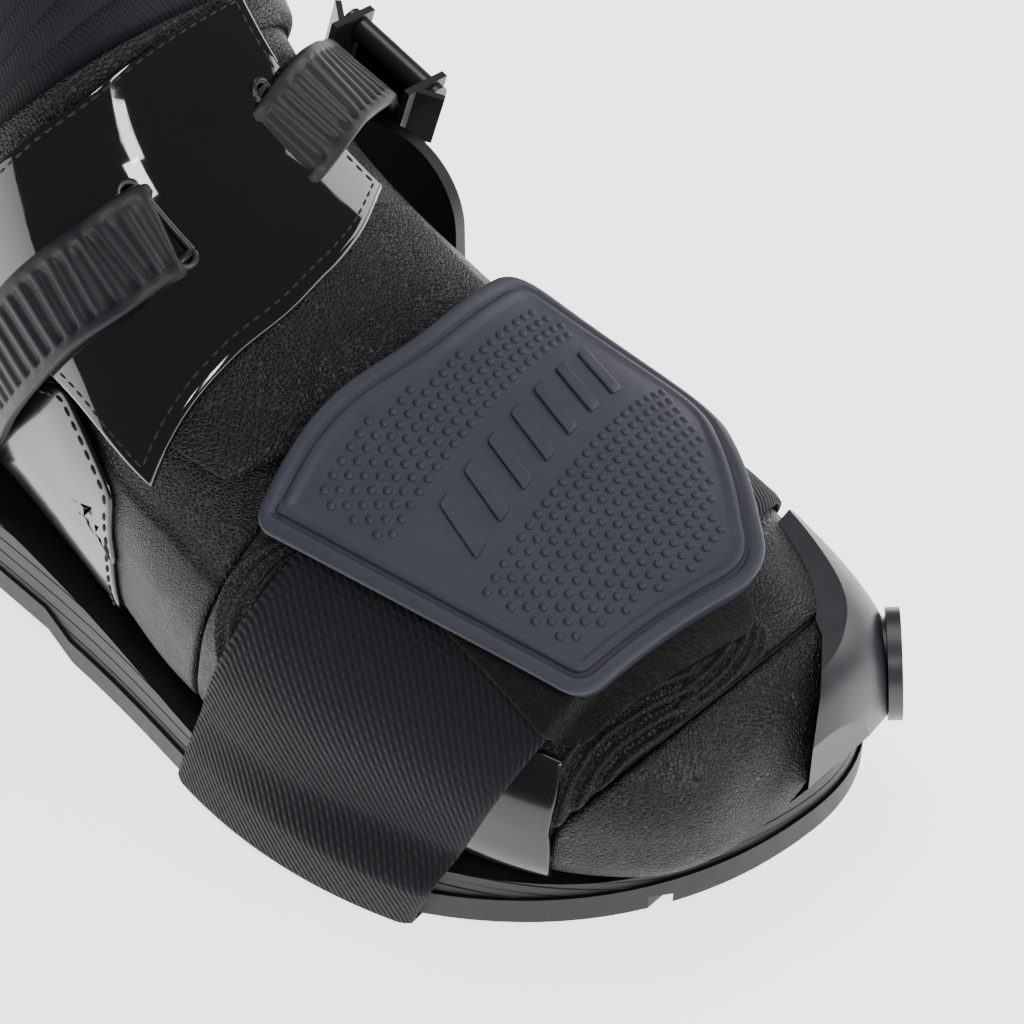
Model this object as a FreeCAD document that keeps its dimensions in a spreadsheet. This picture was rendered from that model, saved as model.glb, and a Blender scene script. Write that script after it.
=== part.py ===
import FreeCAD, Part
import Sketcher
import math
import os

# Left riding boot with an ankle strap, a ratchet buckle and a gear-shift pad on an elastic band.
# Frame: +Z up, toe towards -Y, heel towards +Y, +X the outer (lateral) side, -X the inner (medial) side.
# The origin is on the ground under the middle of the sole.

Vector = FreeCAD.Vector
Rotation = FreeCAD.Rotation
Placement = FreeCAD.Placement

doc = FreeCAD.newDocument("riding_boot")
sheet = doc.addObject("Spreadsheet::Sheet", "dimensions")

driving = {
    # upper, from the outside inwards
    "leather_thickness": 2.0,
    "padding_thickness": 1.1,
    "lining_thickness": 1.1,
    "layer_gap": 0.2,
    "seam_gap": 0.4,
    "overlay_thickness": 1.2,
    "mesh_thickness": 0.8,
    "heel_guard_thickness": 2.6,
    "ankle_guard_thickness": 2.2,
    "pad_thickness": 3.0,
    "patent_thickness": 1.4,
    # sole
    "outsole_thickness": 6.5,
    "toe_spring": 16.0,
    "spring_start": -58.0,
    "arch_start": 14.0,
    "arch_end": 60.0,
    "arch_rise": 4.5,
    "heel_end": 138.0,
    "tread_pitch": 11.0,
    "tread_width": 3.0,
    "tread_depth": 2.4,
    "board_thickness": 2.0,
    "footbed_thickness": 3.5,
    "shank_width": 18.0,
    "shank_length": 96.0,
    "shank_thickness": 1.6,
    # ankle joint
    "ankle_axis_back": 68.0,
    "ankle_axis_up": 98.0,
    "ankle_clearance": 5.0,
    # elastic band and shift pad
    "band_width": 62.4,
    "band_thickness": 1.6,
    "shift_pad_thickness": 4.2,
    "felt_thickness": 0.9,
    # strap
    "strap_width": 20.5,
    "strap_thickness": 3.0,
    "slot_clearance": 0.8,
    # outer ankle plate
    "plate_length": 71.0,
    "plate_height": 52.0,
    "plate_thickness": 3.0,
    "plate_corner": 19.0,
    "plate_inner_face": 55.0,
    "plate_front": -9.0,
    "plate_bottom": 45.0,
    "spacer_radius": 5.0,
    "plate_screw_radius": 2.0,
    "plate_screw_head": 3.8,
    # ratchet buckle
    "buckle_middle": 22.0,
    "buckle_bottom": 61.0,
    "buckle_tilt": 20.0,
    "buckle_inner_width": 23.0,
    "cheek_thickness": 1.8,
    "cheek_height": 50.0,
    "cheek_depth": 12.4,
    "base_thickness": 1.8,
    "floor_height": 31.0,
    "lever_pin_radius": 1.7,
    "lever_pin_up": 46.0,
    "lever_pin_out": 8.6,
    "lever_width": 22.2,
    "lever_length": 44.0,
    "lever_thickness": 2.6,
    "lever_knuckle_radius": 3.0,
    "pin_running_gap": 0.06,
    "ear_length": 7.5,
    "ear_height": 14.0,
    "ear_thickness": 1.6,
    "ear_flare": 35.0,
    "buckle_rivet_radius": 1.6,
    "pawl_pin_radius": 0.8,
    "pawl_barrel_radius": 1.4,
    "pawl_length": 12.0,
    "pawl_thickness": 1.2,
    "pawl_drop": 11.0,
    "pawl_pin_out": 6.95,
    # strap anchor
    "anchor_size": 20.0,
    "anchor_thickness": 1.6,
    "anchor_corner": 4.0,
    "anchor_screw_radius": 2.2,
    # zip
    "zip_tilt": -6.6,
    "zip_length": 98.0,
    "zip_teeth_width": 4.0,
    "zip_teeth_height": 1.6,
    "zip_tape_width": 2.7,
    "zip_tape_thickness": 0.8,
    "zip_slot_width": 10.4,
    "zip_slider_length": 12.0,
    "zip_slider_width": 8.4,
    "zip_slider_height": 3.2,
    "zip_pull_length": 22.0,
    "zip_pull_width": 7.0,
    "zip_pull_thickness": 1.4,
    # toe slider
    "slider_thickness": 3.0,
    "boss_radius": 12.0,
    "boss_thickness": 3.0,
    "shaft_top": 290.0,
    "collar_top": 302.0,
    "collar_puff": 2.6,
    "shin_plate_thickness": 3.0,
    "flap_thickness": 2.0,
    "webbing_thickness": 1.6,
    "webbing_width": 18.0,
}

# The last, the solid form of the foot and leg, as fan-shaped sections from the toe to the calf.
# Each section lies in a plane across the boot. Its row holds the sole or back point (back_y, back_z),
# the crown or front point (front_y, front_z), the widths to the inner and the outer side, and its centre.
last_columns = ("back_y", "back_z", "front_y", "front_z", "inner_width", "outer_width", "centre")
last_rows = [
    (-149, 26, -148, 38, 14, 14, 11.5),
    (-146, 23, -143, 47, 29, 29, 11),
    (-138, 19.5, -132, 54, 40, 40, 10.5),
    (-119, 16.5, -111, 60, 50, 50, 9),
    (-91, 15, -82, 70, 56, 56, 6.5),
    (-61, 14, -52, 82, 59, 58, 3),
    (-30, 15, -22, 99.5, 56, 56, 1),
    (0, 19, 0, 120, 49.5, 50.5, 0),
    (38, 25, 12, 142, 45, 45.5, 0),
    (90, 30, 17, 164, 41.5, 42.5, 0),
    (139, 35, 19, 181, 40.5, 41.5, 0),
    (146, 63, 19, 193, 42.5, 43.5, 0),
    (141, 96, 18, 203, 44.5, 44.5, 0),
    (130, 132, 16, 215, 45.5, 45.5, 0),
    (126, 167, 13, 229, 47.5, 47.5, 0),
    (130, 213, 8, 253, 52.5, 52.5, 0),
    (138, 263, 1, 281, 58, 58, 0),
    (146, 303, -6, 308, 63, 63, 0),
]
toe_share = (1.0, 0.9, 0.7, 0.35, 0.12, 0.0)
instep_section = 7
ankle_section = 11

row_number = 1
for name, value in driving.items():
    sheet.set("A%d" % row_number, name)
    sheet.set("B%d" % row_number, str(value))
    sheet.setAlias("B%d" % row_number, name)
    row_number += 1
for section_number, row in enumerate(last_rows):
    for column_name, value in zip(last_columns, row):
        sheet.set("A%d" % row_number, "last %s" % column_name)
        sheet.set("B%d" % row_number, str(value))
        sheet.setAlias("B%d" % row_number, "last_%s_%02d" % (column_name, section_number))
        row_number += 1
doc.recompute()


def size(name):
    return float(sheet.get(name))


def bind(target, **links):
    """Binds properties of an object to expressions on the sheet's cells."""
    for name, text in links.items():
        target.setExpression(name, text)


def cell(name):
    return "dimensions." + name


sub_parts = []


def keep(target, label):
    """Names a finished sub-part and puts it on the list that is written out."""
    target.Label = label
    sub_parts.append(target)
    return target


def shape_part(label, shape, placement=None):
    """A free-form sub-part: a Part feature that holds one worked-out shape."""
    feature = doc.addObject("Part::Feature", label)
    feature.Shape = shape
    if placement is not None:
        feature.Placement = placement
    return keep(feature, label)


# ---- the last's surfaces ----

points_round = 40
sole_power = 3.6
crown_power = 2.3
leg_power = 2.25
low_widest = 1.35


def last_row(number):
    return [size("last_%s_%02d" % (name, number)) for name in last_columns]


def last_slope(number):
    """How fast each column changes at a section: the mean of the steps before and after it."""
    final = len(last_rows) - 1
    before, after = last_row(max(number - 1, 0)), last_row(min(number + 1, final))
    steps = min(number + 1, final) - max(number - 1, 0)
    return [(b - a) / steps for a, b in zip(before, after)]


def last_between(station):
    """The columns at any station: cubic blend of the two rows and slopes that stand round it."""
    number = min(int(station), len(last_rows) - 2)
    t = station - number
    blend = 3 * t ** 2 - 2 * t ** 3
    weights = (1 - blend, t ** 3 - 2 * t ** 2 + t, blend, t ** 3 - t ** 2)
    columns = zip(last_row(number), last_slope(number), last_row(number + 1), last_slope(number + 1))
    return [sum(w * value for w, value in zip(weights, column)) for column in columns]


def section_points(station, outwards):
    """Points round one section: a superellipse, flat below and round above, moved outwards."""
    back_y, back_z, front_y, front_z, inner, outer, centre = last_between(station)
    reach = math.hypot(front_y - back_y, front_z - back_z)
    step_y = (front_y - back_y) / reach * outwards
    step_z = (front_z - back_z) / reach * outwards
    number = min(int(station), len(toe_share) - 2)
    part = min(station - number, 1.0)
    forward = (toe_share[number] * (1 - part) + toe_share[number + 1] * part) * outwards
    front_y, front_z = front_y + step_y - forward, front_z + step_z
    back_y, back_z = back_y - step_y - forward, back_z - step_z
    share = min(max((station - instep_section) / (ankle_section - instep_section), 0.0), 1.0)
    share = share * share * (3.0 - 2.0 * share)
    below_power = sole_power * (1 - share) + leg_power * share
    above_power = crown_power * (1 - share) + leg_power * share
    lift_power = low_widest * (1 - share) + share
    points = []
    for index in range(points_round):
        angle = 2.0 * math.pi * index / points_round
        across, along = math.cos(angle), math.sin(angle)
        power = above_power if along >= 0 else below_power
        side = signed_power(across, 2.0 / power)
        rise = (0.5 + 0.5 * signed_power(along, 2.0 / power)) ** lift_power
        width = (outer if side > 0 else inner) + outwards
        points.append(Vector(centre + width * side, back_y + (front_y - back_y) * rise,
                             back_z + (front_z - back_z) * rise))
    return points


def signed_power(value, power):
    if abs(value) < 1e-9:
        return 0.0
    return math.copysign(abs(value) ** power, value)


forms = {}
steps_between = 3
form_stations = [n / steps_between for n in range(steps_between * (len(last_rows) - 1) + 1)]
smooth = 3


def form(outwards):
    """The last's solid, moved outwards by a distance (inwards where it is negative).

    A cubic surface, closed round the boot, follows the sections' points, with a flat face at each end.
    """
    key = round(outwards, 3)
    if key not in forms:
        grid = [section_points(station, outwards) for station in form_stations]
        long_knots = list(range(len(grid) - smooth + 1))
        long_counts = [smooth + 1] + [1] * (len(long_knots) - 2) + [smooth + 1]
        round_knots = list(range(points_round + 1))
        surface = Part.BSplineSurface()
        surface.buildFromPolesMultsKnots(grid, long_counts, [1] * len(round_knots), long_knots, round_knots,
                                         False, True, smooth, smooth)
        side = surface.toShape()
        low, high = 0.0, float(long_knots[-1])
        ends = [Part.Face(Part.Wire([surface.uIso(at).toShape()])) for at in (low, high)]
        shell = Part.Shell([side] + ends)
        shell.sewShape()
        solid = Part.Solid(shell)
        if solid.Volume < 0:
            solid.reverse()
        forms[key] = solid
    return forms[key]


far = 200.0


def side_region(points, low_x=-far, high_x=far):
    """A prism along X from an outline given as (y, z) corners."""
    corners = [Vector(low_x, y, z) for y, z in points]
    face = Part.Face(Part.makePolygon(corners + corners[:1]))
    return face.extrude(Vector(high_x - low_x, 0, 0))


def plan_region(points, low_z=-20.0, high_z=400.0):
    """A prism along Z from an outline given as (x, y) corners."""
    corners = [Vector(x, y, low_z) for x, y in points]
    face = Part.Face(Part.makePolygon(corners + corners[:1]))
    return face.extrude(Vector(0, 0, high_z - low_z))


def rounded_plan_region(points, radius, low_z, high_z):
    """A prism along Z whose upright edges are rounded."""
    block = plan_region(points, low_z, high_z)
    upright = [edge for edge in block.Edges if abs(edge.Vertexes[0].Z - edge.Vertexes[-1].Z) > 1.0]
    return block.makeFillet(radius, upright)


def skin(inner_face, outer_face, *regions):
    """The layer between two distances from the last, inside every region."""
    solid = form(outer_face)
    for region in regions:
        solid = solid.common(region)
    return solid.cut(form(inner_face))


def largest_solid(shape):
    return max(shape.Solids, key=lambda solid: solid.Volume)


# ---- sole: side profiles and footprint ----

sole_lift = 1.5
sole_line = [(size("last_back_y_%02d" % n), size("last_back_z_%02d" % n) + sole_lift) for n in range(11)]
sole_line = [(-164.0, 33.0)] + sole_line + [(160.0, 39.0)]
spring_reach = 93.5


def ground_height(y):
    """Height of the sole's underside in the toe spring: it rises with the square of the distance."""
    start = size("spring_start")
    return size("toe_spring") * (max(start - y, 0.0) / spring_reach) ** 2


def side_curve(points):
    """Smooth curve in the middle plane through (y, z) points."""
    curve = Part.BSplineCurve()
    curve.interpolate([Vector(0, y, z) for y, z in points])
    return curve.toShape()


def side_line(first, second):
    return Part.makeLine(Vector(0, *first), Vector(0, *second))


def side_prism(edges):
    """A prism along X, both ways, from a closed run of edges in the middle plane."""
    face = Part.Face(Part.Wire(Part.__sortEdges__(edges)))
    face.translate(Vector(-far, 0, 0))
    return face.extrude(Vector(2 * far, 0, 0))


def above_curve(points, top=400.0):
    """Everything above a smooth side curve."""
    first, final = points[0], points[-1]
    return side_prism([
        side_curve(points),
        side_line(final, (final[0], top)),
        side_line((final[0], top), (first[0], top)),
        side_line((first[0], top), first),
    ])


def shifted(points, rise):
    return [(y, z + rise) for y, z in points]


def underside(rise):
    """Everything above the sole's underside raised by a distance: toe spring, flat tread, arch and heel."""
    spring = [(y, ground_height(y) + rise) for y in (-164.0, -140.0, -120.0, -100.0, -80.0)]
    start = (size("spring_start"), rise)
    arch = size("arch_rise") + rise
    flat_end = (size("arch_start"), rise)
    arch_front = (size("arch_start") + 9.0, arch)
    arch_back = (size("arch_end") - 9.0, arch)
    heel_front = (size("arch_end"), rise)
    heel_back = (size("heel_end"), rise)
    heel_tip = (160.0, rise + 9.0)
    curve = side_curve(spring + [start])
    corners = [start, flat_end, arch_front, arch_back, heel_front, heel_back, heel_tip, (160.0, 120.0),
               (-164.0, 120.0), spring[0]]
    lines = [side_line(a, b) for a, b in zip(corners, corners[1:])]
    return side_prism([curve] + lines)


footprint_points = [
    (12, -151.5), (34, -147), (51, -133), (60.5, -112), (64.5, -87), (63.5, -58), (58.5, -28),
    (53.5, 5), (49.5, 45), (46.5, 85), (42, 115), (29, 139), (2, 150), (-26, 140), (-41, 115),
    (-45.5, 85), (-48.5, 45), (-51.5, 5), (-56, -28), (-59.5, -58), (-56, -86), (-45.5, -112),
    (-31, -132), (-10, -146.5),
]
footprint_middle = (4.0, -10.0)


def footprint(inwards, low_z, high_z):
    """The sole's outline pulled in by a distance, as a prism along Z."""
    points = []
    for x, y in footprint_points:
        away = Vector(x - footprint_middle[0], (y - footprint_middle[1]) * 0.4, 0).normalize()
        points.append(Vector(x - away.x * inwards, y - away.y * inwards, low_z))
    curve = Part.BSplineCurve()
    curve.interpolate(Points=points, PeriodicFlag=True)
    return Part.Face(Part.Wire([curve.toShape()])).extrude(Vector(0, 0, high_z - low_z))


above_sole = above_curve(sole_line)

# the elastic band runs under the sole between two slanting planes
band_lean = -0.409
band_skew = 0.136
band_front_at_ground = -91.9
band_spread = math.sqrt(1 + band_lean ** 2 + band_skew ** 2)
band_rear_at_ground = band_front_at_ground + size("band_width") * band_spread
band_recess_depth = 2.2


def band_slab(margin, top):
    """Space between the band's two edge planes, widened by a margin."""
    def edge_point(x, z, start):
        return Vector(x, start + band_skew * x + band_lean * z, z)

    front, rear = band_front_at_ground - margin, band_rear_at_ground + margin
    wires = []
    for height in (-20.0, top):
        corners = [edge_point(-90, height, front), edge_point(90, height, front),
                   edge_point(90, height, rear), edge_point(-90, height, rear)]
        wires.append(Part.makePolygon(corners + corners[:1]))
    return Part.makeLoft(wires, True, True)


outsole_top = size("outsole_thickness")
outsole = footprint(0.0, -1.0, 60.0).common(underside(0.0)).cut(underside(outsole_top))
outsole = outsole.cut(band_slab(1.0, band_recess_depth))
groove_depth = size("tread_depth")
groove_starts = [-12.0, -1.0] + [size("arch_end") + 10.0 + size("tread_pitch") * n for n in range(6)]
for groove_y in groove_starts:
    groove = Part.makeBox(34.0, size("tread_width"), groove_depth + 1.0, Vector(5.0, groove_y, -1.0))
    outsole = outsole.cut(groove)
    outsole = outsole.cut(groove.translated(Vector(-44.0, 0, 0)))
for groove_y in (-141.0, -130.0, -119.0, -108.0):
    groove_z = ground_height(groove_y) - 1.0
    groove = Part.makeBox(80.0, size("tread_width"), groove_depth + 1.0, Vector(-30.0, groove_y, groove_z))
    outsole = outsole.cut(groove)
shape_part("outsole", largest_solid(outsole))

midsole_inset = 0.8
shank_origin = Vector(-size("shank_width") / 2, -22.0, 0)
midsole = footprint(midsole_inset, -1.0, 60.0).common(underside(outsole_top + 0.1))
midsole = midsole.cut(above_curve(shifted(sole_line, -0.1)))
shank_line_low = shifted(sole_line, -0.1 - size("shank_thickness") - 0.3)
shank_box = Part.makeBox(size("shank_width"), size("shank_length"), 60.0, shank_origin)
shank_pocket = Part.makeBox(size("shank_width") + 0.6, size("shank_length") + 0.6, 60.0,
                            shank_origin - Vector(0.3, 0.3, 0))
midsole = midsole.cut(shank_pocket.common(above_curve(shank_line_low)))
shape_part("midsole", largest_solid(midsole))
shank = shank_box.common(above_curve(shifted(shank_line_low, 0.15)))
shank = shank.cut(above_curve(shifted(sole_line, -0.25)))
shape_part("steel_shank", shank)

# ---- layers of the upper ----

gap = size("layer_gap")
leather_in = -size("leather_thickness")
padding_out = leather_in - gap
padding_in = padding_out - size("padding_thickness")
lining_out = padding_in - gap
lining_in = lining_out - size("lining_thickness")
bed_out = lining_in - gap

axis_y = size("ankle_axis_back")
axis_z = size("ankle_axis_up")
clear = size("ankle_clearance")
foot_apex = (axis_y, axis_z - clear)
shaft_apex = (axis_y, axis_z + clear)
foot_front_rim = (14.0, 148.0)
foot_back_rim = (128.0, 119.0)
shaft_front_rim = (9.0, 205.0)
shaft_back_rim = (128.0, 138.0)


def beyond(apex, rim, factor=2.2):
    """The point on the line from the apex through the rim, past the surface."""
    return (apex[0] + (rim[0] - apex[0]) * factor, apex[1] + (rim[1] - apex[1]) * factor)


foot_front_far = beyond(foot_apex, foot_front_rim)
foot_back_far = beyond(foot_apex, foot_back_rim)
foot_region = side_region([
    (-200.0, 0.0), (220.0, 0.0), (220.0, foot_back_far[1]), foot_back_far,
    foot_apex, foot_front_far, (-200.0, foot_front_far[1]),
])
shaft_region = side_region([
    shaft_apex, beyond(shaft_apex, shaft_back_rim), (220.0, 400.0), (-200.0, 400.0),
    beyond(shaft_apex, shaft_front_rim),
])
foot_zone = foot_region.common(above_sole)

# insole board and footbed stand inside the lasted leather
board_high = shifted(sole_line, size("board_thickness"))
board = form(leather_in - gap).common(above_curve(shifted(sole_line, 0.1)))
board = board.cut(above_curve(board_high))
shape_part("insole_board", largest_solid(board))
bed_low = shifted(board_high, 0.1)
bed_high = shifted(bed_low, size("footbed_thickness"))
bed = form(bed_out).common(above_curve(bed_low)).cut(above_curve(bed_high))
shape_part("footbed", largest_solid(bed))

inner_zone = foot_region.common(above_curve(shifted(board_high, 0.1)))
lining = skin(lining_in, lining_out, inner_zone)
shape_part("foot_lining", largest_solid(lining))

stiffener_line = -112.0
counter_line = 98.0
stiffener_zone = side_region([(-200, 0), (stiffener_line, 0), (stiffener_line, 90), (-200, 90)])
counter_zone = side_region([(counter_line, 0), (200, 0), (200, 92), (counter_line + 12, 92)])
stiffener = skin(padding_in, padding_out, inner_zone, stiffener_zone)
counter = skin(padding_in, padding_out, inner_zone, counter_zone)
shape_part("toe_stiffener", largest_solid(stiffener))
shape_part("heel_counter", largest_solid(counter))
padding_zone = side_region([
    (stiffener_line + 0.4, 0), (counter_line - 0.4, 0), (counter_line + 11.5, 92.5), (200, 92.5), (200, 220),
    (stiffener_line + 0.4, 220)])
shape_part("foot_padding", largest_solid(skin(padding_in, padding_out, inner_zone, padding_zone)))

# the leather is tiled: toe box, vamp, throat, inner and outer quarters, heel
seam = size("seam_gap") / 2
toe_seam = [(-118.0, 0.0), (-124.0, 34.0), (-139.0, 60.0), (-139.0, 90.0)]
vamp_seam = [(-30.0, 0.0), (-46.0, 60.0), (-58.0, 130.0)]
heel_seam = [(86.0, 0.0), (100.0, 60.0), (92.0, 220.0)]


def moved_line(points, shift):
    return [(y + shift, z) for y, z in points]


leather = form(0.0).common(foot_zone).cut(form(leather_in))


def leather_tile(label, outline, low_x=-far, high_x=far):
    return shape_part(label, largest_solid(leather.common(side_region(outline, low_x, high_x))))


leather_tile("toe_box", [(-200, 0)] + moved_line(toe_seam, -seam) + [(-200, 90)])
leather_tile("vamp", moved_line(vamp_seam, -seam) + [(-100, 130)] + moved_line(toe_seam, seam)[::-1])
throat_outline = [(-70.0, 140.0)] + moved_line(vamp_seam, seam)[:0:-1]
throat_outline = throat_outline + [(-30.0, 66.0), (60.0, 86.0), (60.0, 240.0)]
leather_tile("throat", throat_outline)
quarter_outline = moved_line(vamp_seam, seam)[:2] + [(-30.0, 65.6), (60.5, 85.6), (60.5, 240.0)]
quarter_outline = quarter_outline + moved_line(heel_seam, -seam)[::-1]
leather_tile("inner_quarter", quarter_outline, -far, -seam)
leather_tile("outer_quarter", quarter_outline, seam, far)
leather_tile("heel_leather", moved_line(heel_seam, seam) + [(220, 220), (220, 0)])

# ---- overlays on the foot ----

over_in = gap
over_out = gap + size("overlay_thickness")
mesh_out = over_in + size("mesh_thickness")
guard_outside = over_in + size("heel_guard_thickness")
above_welt = above_curve(shifted(sole_line, 0.3))
forefoot_zone = [(-121.5, 10), (-127, 34), (-133, 46), (-120, 48), (-110, 40), (-104, 10)]
gloss_zone = [(-14, 66), (6, 82), (44, 70), (56, 46), (58, 20), (0, 16), (-8, 30)]
mesh_zone = [(45.5, 70), (74, 74), (84, 50), (78, 20), (58.8, 20), (56.8, 46.5)]
heel_guard_zone = [(104, 20), (200, 20), (200, 88), (124, 86), (112, 62)]


def overlay(label, outline, outer_face, high_x=far):
    """A flat overlay on the leather, inside an outline seen from the side."""
    layer = skin(over_in, outer_face, above_welt, side_region(outline, -far, high_x))
    return shape_part(label, largest_solid(layer))


overlay("forefoot_side_panel", forefoot_zone, over_out, 0)
overlay("inner_gloss_panel", gloss_zone, over_out, 0)
overlay("inner_mesh_panel", mesh_zone, mesh_out, 0)
overlay("heel_guard", heel_guard_zone, guard_outside)

pad_out = gap + size("pad_thickness")
lower_pad_outline = [(-54, 86), (-38, 77), (-27, 80), (-15, 97), (-15, 110), (-22, 122), (-54, 118)]
lower_pad_zone = side_region(lower_pad_outline, -44, 31)
shape_part("lower_instep_pad", largest_solid(skin(over_in, pad_out, lower_pad_zone)))
upper_pad_zone = side_region([
    (-12, 141), (10, 139), (28, 119), (38, 102), (47, 108), (34, 126), (14, 146), (-4, 164)])
shape_part("upper_instep_pad", largest_solid(skin(over_in, pad_out, upper_pad_zone, foot_region)))

# ---- ribbed strap: flat sections carried along its path ----

strap_half = size("strap_width") / 2
strap_thick = size("strap_thickness")
# centre, direction across the strap, outward direction
strap_path = [
    ((-43.6, 58.5, 38.0), (0, 0.78, 0.62), (-1, 0, 0.0)),
    ((-45.2, 50.0, 49.0), (0, 0.78, 0.62), (-1, 0, -0.1)),
    ((-47.4, 40.0, 61.0), (0, 0.79, 0.62), (-1, 0, -0.05)),
    ((-50.4, 29.0, 74.0), (0.02, 0.80, 0.60), (-1, 0, 0.1)),
    ((-51.0, 17.5, 88.0), (0.12, 0.80, 0.58), (-1, -0.15, 0.3)),
    ((-46.6, 6.6, 101.8), (0.25, 0.78, 0.58), (-0.8, -0.3, 0.5)),
    ((-38.2, -1.6, 110.6), (0.22, 0.74, 0.64), (-0.62, -0.5, 0.6)),
    ((-32.0, -3.4, 113.4), (0.17, 0.72, 0.67), (-0.5, -0.58, 0.63)),
    ((-27.0, -4.3, 114.4), (0.12, 0.70, 0.70), (-0.36, -0.64, 0.67)),
    ((-21.0, -4.4, 113.8), (0.07, 0.69, 0.72), (-0.24, -0.69, 0.69)),
    ((-14.3, -4.3, 116.1), (0.03, 0.67, 0.74), (-0.14, -0.72, 0.68)),
    ((-2.0, -4.3, 117.6), (-0.05, 0.66, 0.75), (0.0, -0.74, 0.67)),
    ((5.0, -4.3, 117.5), (-0.13, 0.64, 0.75), (0.02, -0.74, 0.67)),
    ((11.0, -4.3, 119.9), (-0.19, 0.63, 0.75), (0.0, -0.73, 0.69)),
    ((16.5, -3.6, 122.3), (-0.25, 0.62, 0.74), (0.0, -0.70, 0.73)),
    ((25.5, -0.4, 123.6), (-0.23, 0.62, 0.75), (0.03, -0.68, 0.74)),
    ((34.5, 4.6, 121.0), (-0.2, 0.69, 0.70), (0.15, -0.6, 0.78)),
    ((43.5, 10.6, 116.6), (-0.14, 0.80, 0.58), (0.4, -0.4, 0.8)),
    ((51.5, 17.4, 111.4), (-0.07, 0.89, 0.45), (0.62, -0.25, 0.7)),
    ((57.6, 22.4, 105.0), (-0.02, 0.93, 0.37), (0.86, -0.12, 0.42)),
    ((61.8, 25.4, 97.6), (0, 0.94, 0.342), (1, 0, 0)),
    ((61.8, 27.1, 92.9), (0, 0.94, 0.342), (1, 0, 0)),
    ((61.8, 28.8, 88.2), (0, 0.94, 0.342), (1, 0, 0)),
    ((61.8, 32.3, 78.7), (0, 0.94, 0.342), (1, 0, 0)),
    ((61.8, 35.3, 70.3), (0, 0.94, 0.342), (1, 0, 0)),
    ((61.8, 38.4, 61.9), (0, 0.94, 0.342), (1, 0, 0)),
]


def strap_solid(half_width, thickness):
    """Flat rectangular sections along the strap's path, joined smoothly."""
    wires = []
    for centre, across, outward in strap_path:
        middle = Vector(*centre)
        side = Vector(*across).normalize()
        out = Vector(*outward)
        out = (out - side * out.dot(side)).normalize()
        corners = [middle + side * a * half_width + out * b * thickness / 2
                   for a, b in ((-1, -1), (1, -1), (1, 1), (-1, 1))]
        wires.append(Part.makePolygon(corners + corners[:1]))
    return Part.makeLoft(wires, True, False)


strap = strap_solid(strap_half, strap_thick)

# ---- patent instep panel with two strap slots ----

patent_in = pad_out + 0.3
patent_out = patent_in + size("patent_thickness")
patent_outline = [(-46, 112), (-27, 74), (6, 85), (46, 73), (52, 88), (33, 116), (14, 136), (8, 152),
                  (-12, 152)]
patent_zone = side_region(patent_outline, -far, 26.0)
patent_edge_corners = [Vector(12.6, -80, 142), Vector(25.4, -80, 100), Vector(200, -80, 60),
                       Vector(200, -80, 250), Vector(-20, -80, 250)]
patent_edge = Part.Face(Part.makePolygon(patent_edge_corners + patent_edge_corners[:1]))
patent_edge = patent_edge.extrude(Vector(0, 200, 0))
patent = skin(patent_in, patent_out, patent_zone, foot_region).cut(patent_edge)
slot_gap = size("slot_clearance")
slot_cutter = strap_solid(strap_half + slot_gap, strap_thick + 2 * slot_gap)
inner_slot_space = Part.makeBox(50.0, 120.0, 120.0, Vector(-71.0, -40.0, 40.0))
outer_slot_space = Part.makeBox(26.0, 120.0, 120.0, Vector(5.0, -40.0, 40.0))
patent = patent.cut(slot_cutter.common(inner_slot_space)).cut(slot_cutter.common(outer_slot_space))
shape_part("patent_panel", largest_solid(patent))
under_panel = Part.makeBox(29.0, 80.0, 80.0, Vector(-22.5, -40.0, 80.0))
between_slots = under_panel.cut(form(patent_in - 0.1))
strap = strap.cut(between_slots)

# ---- elastic band, loop felt and shift pad ----

band_thick = size("band_thickness")
band_in = over_out + 0.2
band_low = 0.3
band_hull = form(band_in + band_thick).common(above_curve(shifted(sole_line, 3.0)))
sole_hull = footprint(-band_thick - 0.6, band_low, 24.0)
band = band_hull.fuse(sole_hull).common(band_slab(0.0, 160.0))
band_core = form(band_in).common(above_curve(shifted(sole_line, -3.0)))
sole_core = footprint(-0.6, band_low + band_thick, 60.0).common(
    side_region([(-200, -1), (100, -1), (100, 19.0), (-200, 19.0)]))
band = band.cut(band_core).cut(sole_core)
shape_part("elastic_band", largest_solid(band))

felt_in = band_in + band_thick + 0.2
felt_out = felt_in + size("felt_thickness")
pad_plan = [(-41, -52), (38, -40), (53, -84), (22, -124), (-21, -119)]
felt_plan = [(-30, -50), (30, -34), (44, -84), (18, -130), (-30, -122)]
felt = skin(felt_in, felt_out, rounded_plan_region(felt_plan, 6.0, 40.0, 160.0))
shape_part("pad_felt", largest_solid(felt))
pad_in = felt_out + 0.2
pad_out_face = pad_in + size("shift_pad_thickness")
shift_pad = skin(pad_in, pad_out_face, rounded_plan_region(pad_plan, 7.0, 40.0, 160.0))
shape_part("shift_pad", largest_solid(shift_pad))

# ---- toe slider ----

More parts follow.
